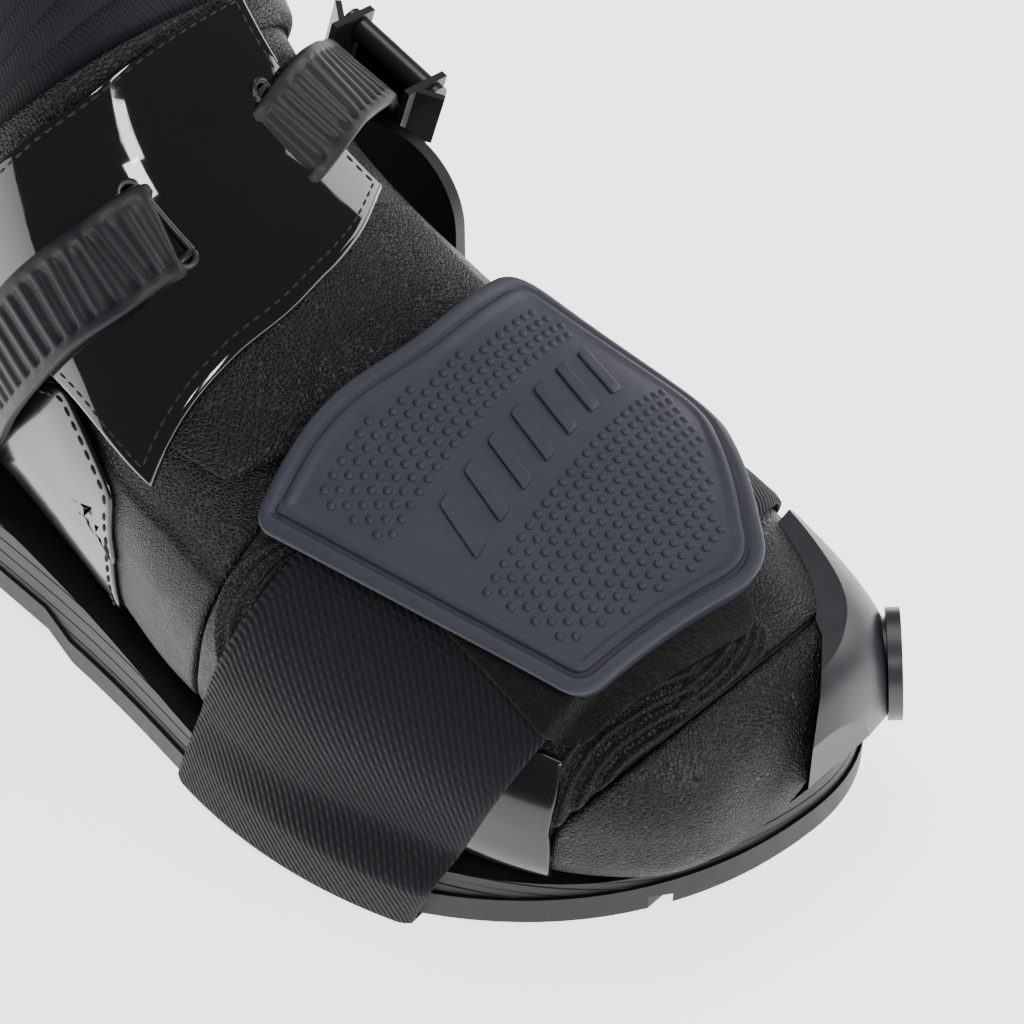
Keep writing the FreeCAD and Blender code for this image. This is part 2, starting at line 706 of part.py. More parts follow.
slider_out = over_in + size("slider_thickness")
slider_plan = [(41, -111), (37, -126), (28, -138), (16, -147), (6, -153), (6, -170), (90, -170),
               (90, -109), (62, -107)]
slider_below = side_region([(-200, 0), (-80, 0), (-80, 51), (-140, 51), (-200, 46)])
toe_slider = skin(over_in, slider_out, plan_region(slider_plan, 10.0, 100.0),
                  above_curve(shifted(sole_line, 1.0)), slider_below)
boss_centre = Vector(45.5, -141.0, 33.0)
boss_axis = Vector(0.62, -0.78, 0.1).normalize()
boss_radius = size("boss_radius")
boss_start = boss_centre + boss_axis * 2.0
boss_cylinder = Part.makeCylinder(boss_radius, size("boss_thickness"), boss_start, boss_axis)
seat_depth = 16.0
seat_start = boss_start - boss_axis * (seat_depth + 0.1)
boss_seat = Part.makeCylinder(boss_radius - 2.0, seat_depth, seat_start, boss_axis)
boss_seat = boss_seat.cut(form(over_in + 0.1))
screw_offset = 6.0
screw_side = boss_axis.cross(Vector(0, 0, 1)).normalize()
screw_shafts = []
screw_holes = []
for direction in (-1, 1):
    start = boss_centre + screw_side * direction * screw_offset - boss_axis * 7.4
    screw_shafts.append(Part.makeCylinder(1.5, 9.0, start, boss_axis))
    screw_holes.append(Part.makeCylinder(1.6, 40.0, start - boss_axis * 4.0, boss_axis))
boss_room = Part.makeCylinder(boss_radius + 0.3, 8.0, boss_start - boss_axis * 0.08, boss_axis)
toe_slider = largest_solid(toe_slider.fuse(boss_seat).cut(boss_room))
for hole in screw_holes:
    toe_slider = toe_slider.cut(hole)
shape_part("toe_slider", largest_solid(toe_slider))
shape_part("slider_boss", boss_cylinder)
clear_leather = form(over_in + 0.05)
slider_screws = [shaft.cut(clear_leather).Solids[0] for shaft in screw_shafts]
shape_part("slider_screws", Part.makeCompound(slider_screws))

# ---- helpers for machined and moulded pieces ----


def origin_plane(body, role):
    return next(item for item in body.Origin.OriginFeatures if item.Role == role)


def new_sketch(body, role, name):
    sketch = body.newObject("Sketcher::SketchObject", name)
    sketch.AttachmentSupport = [(origin_plane(body, role), "")]
    sketch.MapMode = "FlatFace"
    return sketch


def add_rectangle(sketch, width, height):
    """A rectangle centred on the sketch's origin, its sides bound to two cells."""
    corners = [Vector(-1, -1, 0), Vector(1, -1, 0), Vector(1, 1, 0), Vector(-1, 1, 0)]
    for index in range(4):
        sketch.addGeometry(Part.LineSegment(corners[index], corners[(index + 1) % 4]), False)
    for index in range(4):
        sketch.addConstraint(Sketcher.Constraint("Coincident", index, 2, (index + 1) % 4, 1))
    for index in (0, 2):
        sketch.addConstraint(Sketcher.Constraint("Horizontal", index))
    for index in (1, 3):
        sketch.addConstraint(Sketcher.Constraint("Vertical", index))
    sketch.addConstraint(Sketcher.Constraint("Symmetric", 0, 1, 2, 1, -1, 1))
    width_at = sketch.addConstraint(Sketcher.Constraint("DistanceX", 0, 1, 0, 2, size(width)))
    height_at = sketch.addConstraint(Sketcher.Constraint("DistanceY", 1, 1, 1, 2, size(height)))
    sketch.setExpression("Constraints[%d]" % width_at, cell(width))
    sketch.setExpression("Constraints[%d]" % height_at, cell(height))


def add_circles(sketch, centres, radius):
    """Circles at given places, all with the same bound radius."""
    for x, y in centres:
        index = sketch.addGeometry(Part.Circle(Vector(x, y, 0), Vector(0, 0, 1), size(radius)), False)
        at = sketch.addConstraint(Sketcher.Constraint("Radius", index, size(radius)))
        sketch.setExpression("Constraints[%d]" % at, cell(radius))
        sketch.addConstraint(Sketcher.Constraint("DistanceX", -1, 1, index, 3, x))
        sketch.addConstraint(Sketcher.Constraint("DistanceY", -1, 1, index, 3, y))


def slab_body(label, width, height, thickness, corner=None, holes=(), hole_radius=None):
    """A rounded rectangular plate lying in XY, its thickness along +Z, with round through holes."""
    body = doc.addObject("PartDesign::Body", label + "_body")
    outline = new_sketch(body, "XY_Plane", label + "_outline")
    add_rectangle(outline, width, height)
    pad = body.newObject("PartDesign::Pad", label + "_pad")
    pad.Profile = outline
    pad.setExpression("Length", cell(thickness))
    doc.recompute()
    if corner:
        upright = ["Edge%d" % (n + 1) for n, edge in enumerate(pad.Shape.Edges)
                   if abs(edge.Vertexes[0].Z - edge.Vertexes[-1].Z) > 1e-6]
        rounding = body.newObject("PartDesign::Fillet", label + "_corners")
        rounding.Base = (pad, upright)
        rounding.setExpression("Radius", cell(corner))
        doc.recompute()
    if holes:
        before = body.Shape.Volume
        circles = new_sketch(body, "XY_Plane", label + "_holes")
        add_circles(circles, holes, hole_radius)
        pocket = body.newObject("PartDesign::Pocket", label + "_drilling")
        pocket.Profile = circles
        pocket.Type = "ThroughAll"
        pocket.Reversed = True
        doc.recompute()
        if body.Shape.Volume > before - 1.0:
            raise RuntimeError("the holes of %s cut nothing" % label)
    return body


def rod(label, radius, length, placement):
    """A bound round rod along its own +Z."""
    cylinder = doc.addObject("Part::Cylinder", label)
    cylinder.setExpression("Radius", radius)
    cylinder.setExpression("Height", length)
    cylinder.Placement = placement
    return cylinder


def block(label, length, width, height, placement):
    """A bound box with one corner at its placement."""
    box = doc.addObject("Part::Box", label)
    bind(box, Length=length, Width=width, Height=height)
    box.Placement = placement
    return box


def fused(label, members):
    union = doc.addObject("Part::MultiFuse", label)
    union.Shapes = members
    return union


def cut_away(label, base, tool):
    difference = doc.addObject("Part::Cut", label)
    difference.Base = base
    difference.Tool = tool
    return difference


# turns a plate's own XY into the boot's YZ, so that its thickness runs outwards along +X
outward_turn = Rotation(Vector(0, 1, 0), Vector(0, 0, 1), Vector(1, 0, 0), "ZXY")
along_x = Rotation(Vector(0, 1, 0), 90)
along_y = Rotation(Vector(1, 0, 0), -90)

# ---- outer ankle plate, its spacers and screws ----

plate_in = size("plate_inner_face")
plate_out = plate_in + size("plate_thickness")
plate_middle = Vector(plate_in, size("plate_front") + size("plate_length") / 2,
                      size("plate_bottom") + size("plate_height") / 2)
fixings = [(4.0, 54.0), (30.0, 52.0), (54.0, 58.0)]
fixing_places = [(y - plate_middle.y, z - plate_middle.z) for y, z in fixings]
plate = slab_body("ankle_plate", "plate_length", "plate_height", "plate_thickness", "plate_corner",
                  fixing_places, "plate_screw_radius")
plate.Placement = Placement(plate_middle, outward_turn)
keep(plate, "ankle_plate")

overlay_face = form(0.05)
spacers = []
screws = []
screw_radius = size("plate_screw_radius")
for y, z in fixings:
    column = Part.makeCylinder(size("spacer_radius"), 30.0, Vector(plate_in - 30.05, y, z), Vector(1, 0, 0))
    bore = Part.makeCylinder(screw_radius, 30.0, Vector(plate_in - 30.0, y, z), Vector(1, 0, 0))
    spacers.append(largest_solid(column.cut(overlay_face).cut(bore)))
    shaft = Part.makeCylinder(screw_radius - 0.1, 30.0, Vector(plate_out - 30.0, y, z), Vector(1, 0, 0))
    shaft = largest_solid(shaft.cut(form(0.1)))
    head = Part.makeCone(size("plate_screw_head"), size("plate_screw_head") - 1.2, 2.0,
                         Vector(plate_out + 0.02, y, z), Vector(1, 0, 0))
    neck = Part.makeCylinder(screw_radius - 0.1, 1.0, Vector(plate_out - 0.5, y, z), Vector(1, 0, 0))
    screws.append(shaft.fuse([head, neck]))
shape_part("plate_spacers", Part.makeCompound(spacers))
shape_part("plate_screws", Part.makeCompound(screws))

# ---- ratchet buckle: base with two cheeks and flared ears, lever, pin, pawl ----

mid = size("buckle_middle")
low = size("buckle_bottom")
base_x = plate_out + 0.05
half_inner = size("buckle_inner_width") / 2
cheek = size("cheek_thickness")
outer_half = half_inner + cheek
pin_x = base_x + size("lever_pin_out")
pin_z = low + size("lever_pin_up")
buckle_lean = Rotation(Vector(1, 0, 0), size("buckle_tilt"))
buckle_turn = Placement(Vector(0, 0, 0), buckle_lean, Vector(0, mid, pin_z))
floor_width = cell("buckle_inner_width") + " + 2 * " + cell("cheek_thickness")


def across_buckle(label, radius, length, x, z):
    """A rod across the buckle, centred between its cheeks; its length comes as words and a number."""
    words, number = length
    return rod(label, radius, words, Placement(Vector(x, mid - number / 2, z), along_y))


def cheek_span(extra):
    """Length over both cheeks plus a bit more, as an expression and as a number."""
    return floor_width + " + %s" % extra, 2 * outer_half + extra


base_plate = block("buckle_floor", cell("base_thickness"), floor_width, cell("floor_height"),
                   Placement(Vector(base_x, mid - outer_half, low), Rotation()))
cheeks = []
for side, y in (("front", mid - outer_half), ("rear", mid + half_inner)):
    cheeks.append(block("buckle_cheek_" + side, cell("cheek_depth"), cell("cheek_thickness"),
                        cell("cheek_height"), Placement(Vector(base_x, y, low), Rotation())))
ears = []
ear_low = low + size("cheek_height") - size("ear_height")
for side, y, sign in (("front", mid - outer_half, -1), ("rear", mid + outer_half, 1)):
    turn = Rotation(Vector(0, 0, 1), -sign * size("ear_flare"))
    start = Vector(base_x + 1.8, y - sign * 0.6, ear_low)
    shift = Vector(0, 0, 0) if sign > 0 else turn.multVec(Vector(0, -size("ear_length"), 0))
    ears.append(block("buckle_ear_" + side, cell("ear_thickness"), cell("ear_length"), cell("ear_height"),
                      Placement(start + shift, turn)))
pawl_x = base_x + size("pawl_pin_out")
pawl_z = pin_z - size("pawl_drop")
pin_seat = across_buckle("buckle_pin_seat", cell("lever_pin_radius"), cheek_span(4.0), pin_x, pin_z)
pawl_seat = across_buckle("buckle_pawl_seat", cell("pawl_pin_radius"), cheek_span(4.0), pawl_x, pawl_z)
buckle_rivet_places = [(mid - 7.0, low + 8.0), (mid + 7.0, low + 8.0)]
rivet_bores = []
for number, (y, z) in enumerate(buckle_rivet_places):
    rivet_bores.append(rod("buckle_rivet_bore_%d" % number, cell("buckle_rivet_radius"),
                           cell("base_thickness") + " * 3",
                           Placement(Vector(base_x - 1.0, y, z), along_x)))
buckle_solid = fused("buckle_walls", [base_plate] + cheeks + ears)
buckle_tools = fused("buckle_bores", [pin_seat, pawl_seat] + rivet_bores)
buckle_base = keep(cut_away("buckle_base_cut", buckle_solid, buckle_tools), "buckle_base")

pin_core = across_buckle("pin_core", cell("lever_pin_radius") + " - 0.02", cheek_span(0.6), pin_x, pin_z)
pin_heads = []
for number, y in enumerate((mid - outer_half - 1.7, mid + outer_half + 0.1)):
    pin_heads.append(rod("pin_head_%d" % number, cell("lever_pin_radius") + " + 1.4", "1.6",
                         Placement(Vector(pin_x, y, pin_z), along_y)))
buckle_pin = keep(fused("pin_with_heads", [pin_core] + pin_heads), "buckle_pin")
pawl_rod = across_buckle("pawl_pin_rod", cell("pawl_pin_radius") + " - 0.02", cheek_span(0.8), pawl_x, pawl_z)
pawl_pin = keep(pawl_rod, "pawl_pin")

rivet_shafts = []
for y, z in buckle_rivet_places:
    rivet_shafts.append(Part.makeCylinder(size("buckle_rivet_radius") - 0.05, size("base_thickness"),
                                          Vector(base_x, y, z), Vector(1, 0, 0)))
buckle_rivets = shape_part("buckle_rivets", Part.makeCompound(rivet_shafts))

lever_half = size("lever_width") / 2
lever_inner = pin_x + 0.1
lever_slab = block("lever_slab", cell("lever_thickness"), cell("lever_width"), cell("lever_length"),
                   Placement(Vector(lever_inner, mid - lever_half, pin_z - size("lever_length")), Rotation()))
lever_knuckle = rod("lever_knuckle", cell("lever_knuckle_radius"), cell("lever_width"),
                    Placement(Vector(pin_x, mid - lever_half, pin_z), along_y))
lever_lip = block("lever_lip", "4.0", cell("lever_width"), "3.0",
                  Placement(Vector(lever_inner, mid - lever_half, pin_z - size("lever_length") - 2.0),
                            Rotation(Vector(0, 1, 0), -24)))
lever_bore = rod("lever_bore", cell("lever_pin_radius") + " + " + cell("pin_running_gap"),
                 cell("lever_width") + " + 2",
                 Placement(Vector(pin_x, mid - lever_half - 1.0, pin_z), along_y))
lever = cut_away("lever_cut", fused("lever_solid", [lever_slab, lever_knuckle, lever_lip]), lever_bore)
keep(lever, "buckle_lever")

pawl_blade = block("pawl_blade", cell("pawl_thickness"), cell("lever_width"), cell("pawl_length"),
                   Placement(Vector(pawl_x - 0.6, mid - lever_half, pawl_z - size("pawl_length")),
                             Rotation()))
pawl_barrel = rod("pawl_barrel", cell("pawl_barrel_radius"), cell("lever_width"),
                  Placement(Vector(pawl_x, mid - lever_half, pawl_z), along_y))
pawl_bore = rod("pawl_bore", cell("pawl_pin_radius") + " + " + cell("pin_running_gap"),
                cell("lever_width") + " + 2",
                Placement(Vector(pawl_x, mid - lever_half - 1.0, pawl_z), along_y))
pawl = keep(cut_away("pawl_cut", fused("pawl_solid", [pawl_blade, pawl_barrel]), pawl_bore), "buckle_pawl")
doc.recompute()
for piece in (buckle_base, buckle_pin, pawl_pin, buckle_rivets, lever, pawl):
    piece.Placement = buckle_turn.multiply(piece.Placement)

# ---- strap anchor on the inner side, and the finished strap ----

anchor_middle = Vector(-46.9, 52.5, 45.5)
anchor_lean = Rotation(Vector(0, 1, 0), Vector(0, 0, 1), Vector(-1, 0, -0.12), "ZXY")
anchor = slab_body("strap_anchor", "anchor_size", "anchor_size", "anchor_thickness", "anchor_corner",
                   [(0.0, 0.0)], "anchor_screw_radius")
anchor.Placement = Placement(anchor_middle, anchor_lean)
keep(anchor, "strap_anchor")
screw_axis = anchor_lean.multVec(Vector(0, 0, 1))
screw_radius = size("anchor_screw_radius")
screw_start = anchor_middle - screw_axis * 10.0
anchor_screw = Part.makeCylinder(screw_radius - 0.1, 12.0, screw_start, screw_axis)
anchor_screw = anchor_screw.cut(form(over_out + 0.1))
head_start = anchor_middle + screw_axis * (size("anchor_thickness") + 0.03)
screw_head = Part.makeCylinder(screw_radius + 2.0, 1.8, head_start, screw_axis)
shape_part("anchor_screw", largest_solid(anchor_screw).fuse(screw_head))
screw_passage = Part.makeCylinder(screw_radius, 20.0, screw_start, screw_axis)
anchor_reach = size("anchor_size") / 2 + 0.4
anchor_space = Part.makeBox(2 * anchor_reach, 2 * anchor_reach, 5.0)
anchor_corner = Placement(Vector(-anchor_reach, -anchor_reach, -0.1), Rotation())
anchor_space.Placement = anchor.Placement.multiply(anchor_corner)
panel_stretch = side_region([(10, 0), (90, 0), (90, 100), (10, 100)], -far, 0)
strap = strap.cut(form(over_out + 0.2).common(panel_stretch))
strap = strap.cut(form(over_in + 0.1))
strap = strap.cut(screw_passage).cut(anchor_space)
shape_part("ratchet_strap", largest_solid(strap))

# ---- soft bellows between foot and shaft ----

bellows_gap = 0.6
apex_step = 0.3


def bellows_wedge(foot_rim, shaft_rim, step):
    """The open wedge between the foot's rim and the shaft's rim, seen from the side."""
    foot_far, shaft_far = beyond(foot_apex, foot_rim), beyond(shaft_apex, shaft_rim)
    return side_region([
        (foot_apex[0] + step, foot_apex[1] + bellows_gap),
        (foot_far[0], foot_far[1] + bellows_gap),
        (shaft_far[0], shaft_far[1] - bellows_gap),
        (shaft_apex[0] + step, shaft_apex[1] - bellows_gap),
    ])


front_wedge = bellows_wedge(foot_front_rim, shaft_front_rim, -apex_step)
rear_wedge = bellows_wedge(foot_back_rim, shaft_back_rim, apex_step)
shape_part("front_bellows", largest_solid(skin(leather_in, 0.0, front_wedge)))
shape_part("rear_bellows", largest_solid(skin(leather_in, 0.0, rear_wedge)))

# ---- shaft ----

shaft_top = size("shaft_top")
below_top = side_region([(-200, 0), (220, 0), (220, shaft_top), (-200, shaft_top)])
shaft_zone = shaft_region.common(below_top)
zip_frame = Placement(Vector(-44.9, axis_y + 2.0, 165.0), Rotation(Vector(0, 1, 0), size("zip_tilt")))
zip_slot = size("zip_slot_width")
slot_box = Part.makeBox(14.0, zip_slot, 150.0, Vector(-7.0, -zip_slot / 2, -18.0))
slot_box.Placement = zip_frame.multiply(slot_box.Placement)
shaft_leather = form(0.0).common(shaft_zone).cut(form(leather_in))
front_seam = [(34.0, 90.0), (34.0, 180.0), (24.0, 320.0)]
calf_seam = [(100.0, 90.0), (102.0, 180.0), (112.0, 320.0)]


def shaft_tile(label, outline, low_x=-far, high_x=far, tool=None):
    solid = shaft_leather.common(side_region(outline, low_x, high_x))
    if tool is not None:
        solid = solid.cut(tool)
    return shape_part(label, largest_solid(solid))


side_outline = moved_line(front_seam, seam) + moved_line(calf_seam, -seam)[::-1]
shaft_tile("shaft_front", [(-200, 90)] + moved_line(front_seam, -seam) + [(-200, 320)])
shaft_tile("inner_shaft_side", side_outline, -far, 0.0, slot_box)
shaft_tile("outer_shaft_side", side_outline, 0.0, far)
shaft_tile("calf_stretch_panel", moved_line(calf_seam, seam) + [(220, 320), (220, 90)])
shape_part("shaft_padding", largest_solid(skin(padding_in, padding_out, shaft_zone)))
shape_part("shaft_lining", largest_solid(skin(lining_in, lining_out, shaft_zone)))
collar_bottom = shaft_top + 0.3
collar_top = size("collar_top")
collar_zone = side_region([(-200, collar_bottom), (220, collar_bottom), (220, collar_top),
                           (-200, collar_top)])
shape_part("padded_collar", largest_solid(skin(lining_in, size("collar_puff"), collar_zone)))

shin_zone = side_region([(-40, 214), (10, 214), (22, 232), (18, 284), (-40, 284)])
shin_out = over_in + size("shin_plate_thickness")
shape_part("shin_plate", largest_solid(skin(over_in, shin_out, shin_zone)))
guard_out = over_in + size("ankle_guard_thickness")
outer_guard = side_region([
    (50, 124), (62, 116), (76, 116), (92, 126), (97, 150), (88, 176), (70, 186), (52, 176), (44, 150)],
    0, far)
inner_guard = side_region([
    (51, 124.5), (62, 114), (76, 114), (90, 122), (92, 134), (84, 143), (56, 143), (48, 134)],
    -far, 0)
shape_part("outer_ankle_guard", largest_solid(skin(over_in, guard_out, outer_guard)))
shape_part("inner_ankle_guard", largest_solid(skin(over_in, guard_out, inner_guard)))

# ---- zip: tapes, teeth, end stops, slider and pull, in the zip's own frame ----

teeth_half = size("zip_teeth_width") / 2
teeth_high = size("zip_teeth_height")
zip_length = size("zip_length")
tape_wide = size("zip_tape_width")
tape_start = teeth_half + 0.1
tapes = []
for y in (tape_start, -tape_start - tape_wide):
    tapes.append(Part.makeBox(size("zip_tape_thickness"), tape_wide, zip_length + 14.0,
                              Vector(-size("zip_tape_thickness"), y, -14.0)))
shape_part("zip_tapes", Part.makeCompound(tapes), zip_frame)
zip_teeth = block("zip_teeth_box", cell("zip_teeth_height"), cell("zip_teeth_width"),
                  cell("zip_length") + " + 12",
                  zip_frame.multiply(Placement(Vector(-teeth_high, -teeth_half, -12.0), Rotation())))
keep(zip_teeth, "zip_teeth")
stop_size = Vector(teeth_high + 0.4, size("zip_teeth_width"), 1.8)
zip_stop = Part.makeBox(stop_size.x, stop_size.y, stop_size.z, Vector(-stop_size.x, -teeth_half, -13.9))
shape_part("zip_stop", zip_stop, zip_frame)

slider_long = size("zip_slider_length")
slider_wide = size("zip_slider_width")
slider_high = size("zip_slider_height")
slider_face = -size("zip_tape_thickness") - 0.3
slider_low = zip_length - slider_long
lug_z = slider_low + 6.0
lug_x = slider_face - slider_high - 1.1


def in_zip(x, y, z, turn=None):
    return zip_frame.multiply(Placement(Vector(x, y, z), turn or Rotation()))


slider_block = block("zip_slider_block", cell("zip_slider_height"), cell("zip_slider_width"),
                     cell("zip_slider_length"),
                     in_zip(slider_face - slider_high, -slider_wide / 2, slider_low))
slider_lug = block("zip_slider_lug", "2.6", "2.4", "3.2", in_zip(lug_x - 1.4, -1.2, lug_z - 1.6))
slider_channel = block("zip_slider_channel", "1.6", cell("zip_teeth_width") + " + 0.6",
                       cell("zip_slider_length") + " + 4",
                       in_zip(-teeth_high - 0.35, -teeth_half - 0.3, slider_low - 2.0))
lug_bore = rod("zip_lug_bore", "0.86", "4.0", in_zip(lug_x, -2.0, lug_z, along_y))
slider_tools = fused("zip_slider_tools", [slider_channel, lug_bore])
slider_solid = fused("zip_slider_solid", [slider_block, slider_lug])
keep(cut_away("zip_slider_cut", slider_solid, slider_tools), "zip_slider")

pull_half = size("zip_pull_width") / 2
pull_low = lug_z - size("zip_pull_length")
pull_plate = block("zip_pull_plate", cell("zip_pull_thickness"), cell("zip_pull_width"),
                   cell("zip_pull_length"),
                   in_zip(lug_x - size("zip_pull_thickness") / 2, -pull_half, pull_low))
pull_bar = rod("zip_pull_bar", "0.8", cell("zip_pull_width"), in_zip(lug_x, -pull_half, lug_z, along_y))
pull_window = block("zip_pull_window", "4.0", "3.4", "6.0", in_zip(lug_x - 2.0, -1.7, lug_z - 3.6))
pull_cut = cut_away("zip_pull_cut", pull_plate, pull_window)
keep(fused("zip_pull_solid", [pull_cut, pull_bar]), "zip_pull")

# ---- hook-and-loop top flap and its loop patch ----

loop_zone = side_region([(34, 264), (58, 264), (58, 286), (34, 286)], -far, 0)
shape_part("flap_loop_patch", largest_solid(skin(0.1, 0.8, loop_zone)))
flap_outline = [(36, 268), (42, 262.6), (104, 262.6), (104, 287), (42, 287), (36, 281)]
flap_zone = side_region(flap_outline, -far, 0)
flap_in = 1.1
shape_part("top_flap", largest_solid(skin(flap_in, flap_in + size("flap_thickness"), flap_zone)))

# ---- rear pull loop of webbing ----

web = size("webbing_thickness")
loop_base = [(136.4, 251.0), (143.2, 285.0)]
loop_outline = loop_base + [(150.5, 284.0), (154.0, 270.0), (148.0, 252.0)]
loop_hole = [(138.6, 253.6), (144.3, 282.2), (149.3, 281.6), (152.2, 270.0), (146.8, 253.6)]
loop_half = size("webbing_width") / 2
pull_loop = side_region(loop_outline, -loop_half, loop_half).cut(side_region(loop_hole, -20, 20))
pull_loop = pull_loop.cut(form(0.1))
shape_part("pull_loop", largest_solid(pull_loop))

doc.recompute()

# ---- checks and output ----

for item in doc.Objects:
    if "Invalid" in item.State or "Error" in item.State:
        raise RuntimeError("%s failed to build" % item.Label)
labels = [part.Label for part in sub_parts]
if len(set(labels)) != len(labels):
    raise RuntimeError("two sub-parts share a name")
os.makedirs("parts", exist_ok=True)
for part in sub_parts:
    shape = part.Shape
    if shape.isNull() or not shape.isValid():
        raise RuntimeError("%s has no valid shape" % part.Label)
for part in sub_parts:
    part.Shape.exportStep("parts/%s.step" % part.Label)
    print("%-22s %d solid(s) %9.0f mm3" % (part.Label, len(part.Shape.Solids), part.Shape.Volume))
print(len(sub_parts), "sub-parts written")
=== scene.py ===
import math

import bmesh
import bpy
import numpy as np
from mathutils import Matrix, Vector


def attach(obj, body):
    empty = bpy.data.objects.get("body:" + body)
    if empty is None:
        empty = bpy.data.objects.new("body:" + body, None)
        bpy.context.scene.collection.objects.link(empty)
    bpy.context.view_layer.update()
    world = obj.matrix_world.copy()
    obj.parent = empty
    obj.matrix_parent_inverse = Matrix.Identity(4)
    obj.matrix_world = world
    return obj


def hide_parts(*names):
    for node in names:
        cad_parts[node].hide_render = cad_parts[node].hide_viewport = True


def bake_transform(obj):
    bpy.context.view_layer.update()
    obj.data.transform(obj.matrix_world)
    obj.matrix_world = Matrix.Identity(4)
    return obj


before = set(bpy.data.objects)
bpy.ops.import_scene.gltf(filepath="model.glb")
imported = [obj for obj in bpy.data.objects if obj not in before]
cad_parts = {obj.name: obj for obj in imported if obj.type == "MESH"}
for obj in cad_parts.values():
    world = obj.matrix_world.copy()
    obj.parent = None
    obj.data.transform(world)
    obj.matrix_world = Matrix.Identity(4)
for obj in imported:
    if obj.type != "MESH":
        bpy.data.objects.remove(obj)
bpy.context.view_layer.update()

# Left riding boot: leather, patent, rubber, knit and moulded pieces over the boot's fixed frame.
# Lengths in this script are millimetres until a mesh is made; meshes are in metres.

print("frame loaded")

# The boot's form

# one row for each station from toe to calf: back y, back z, front y, front z, inner and outer width, centre
lastRows = np.array([
    (-149, 26, -148, 38, 14, 14, 11.5), (-146, 23, -143, 47, 29, 29, 11),
    (-138, 19.5, -132, 54, 40, 40, 10.5), (-119, 16.5, -111, 60, 50, 50, 9),
    (-91, 15, -82, 70, 56, 56, 6.5), (-61, 14, -52, 82, 59, 58, 3),
    (-30, 15, -22, 99.5, 56, 56, 1), (0, 19, 0, 120, 49.5, 50.5, 0),
    (38, 25, 12, 142, 45, 45.5, 0), (90, 30, 17, 164, 41.5, 42.5, 0),
    (139, 35, 19, 181, 40.5, 41.5, 0), (146, 63, 19, 193, 42.5, 43.5, 0),
    (141, 96, 18, 203, 44.5, 44.5, 0), (130, 132, 16, 215, 45.5, 45.5, 0),
    (126, 167, 13, 229, 47.5, 47.5, 0), (130, 213, 8, 253, 52.5, 52.5, 0),
    (138, 263, 1, 281, 58, 58, 0), (146, 303, -6, 308, 63, 63, 0)], float)
lastSlopes = np.gradient(lastRows, axis=0)
toeShare = [1.0, 0.9, 0.7, 0.35, 0.12, 0.0]
noseBulge = 2.0
fullness = {"crown": 2.3, "sole": 3.6, "shaft": 2.25, "footLift": 1.35, "turnFrom": 7, "turnOver": 4}
deg = math.pi / 180


def signedPower(value, power):
    return np.sign(value) * np.abs(value) ** power


def surf(s, a, out=0.0):
    # Point on the form: station s along the boot, angle a round it (0 outer side, 90 crown, 180 inner side).
    # Rows are blended by a cubic in s; round the section x goes as |cos a|^(2/n) and height as (half + half
    # |sin a|^(2/n))^lift, where n is the section's roundness. Below station 0 the ring closes as a low
    # parabola.
    s, a, out = np.broadcast_arrays(np.asarray(s, float), np.asarray(a, float), np.asarray(out, float))
    on = np.clip(s, 0, len(lastRows) - 1)
    k = np.clip(on.astype(int), 0, len(lastRows) - 2)
    t = (on - k)[..., None]
    mix = t * t * (3 - 2 * t)
    row = (1 - mix) * lastRows[k] + mix * lastRows[k + 1]
    row = row + t * (1 - t) ** 2 * lastSlopes[k] - t * t * (1 - t) * lastSlopes[k + 1]
    backY, backZ, frontY, frontZ, inner, outer, centre = np.moveaxis(row, -1, 0)
    reach = np.hypot(frontY - backY, frontZ - backZ)
    stepY, stepZ = (frontY - backY) / reach * out, (frontZ - backZ) / reach * out
    forward = np.interp(on, range(6), toeShare) * out
    frontY, frontZ = frontY + stepY - forward, frontZ + stepZ
    backY, backZ = backY - stepY - forward, backZ - stepZ
    turn = np.clip((on - fullness["turnFrom"]) / fullness["turnOver"], 0, 1)
    turn = turn * turn * (3 - 2 * turn)
    across, along = np.cos(a), np.sin(a)
    ofFoot = np.where(along >= 0, fullness["crown"] * (1 - turn), fullness["sole"] * (1 - turn))
    power = ofFoot + fullness["shaft"] * turn
    side = signedPower(across, 2 / power)
    rise = (0.5 + 0.5 * signedPower(along, 2 / power)) ** (fullness["footLift"] * (1 - turn) + turn)
    width = np.where(side > 0, outer, inner) + out
    shrink = 1 - np.clip(-s, 0, 1)
    push = (1 - shrink ** 2) * noseBulge
    middleY, middleZ = (backY + frontY) / 2, (backZ + frontZ) / 2
    y = backY + (frontY - backY) * rise
    z = backZ + (frontZ - backZ) * rise
    return np.stack([centre + width * side * shrink, middleY + (y - middleY) * shrink - push,
                     middleZ + (z - middleZ) * shrink], -1)


def outward(s, a, out=0.0):
    # Unit normal: cross product of the small steps along s and along a.
    tiny = 1e-3
    alongS = surf(s + tiny, a, out) - surf(s - tiny, a, out)
    alongA = surf(s, a + tiny, out) - surf(s, a - tiny, out)
    normal = np.cross(alongS, alongA)
    return normal / (np.linalg.norm(normal, axis=-1, keepdims=True) + 1e-12)


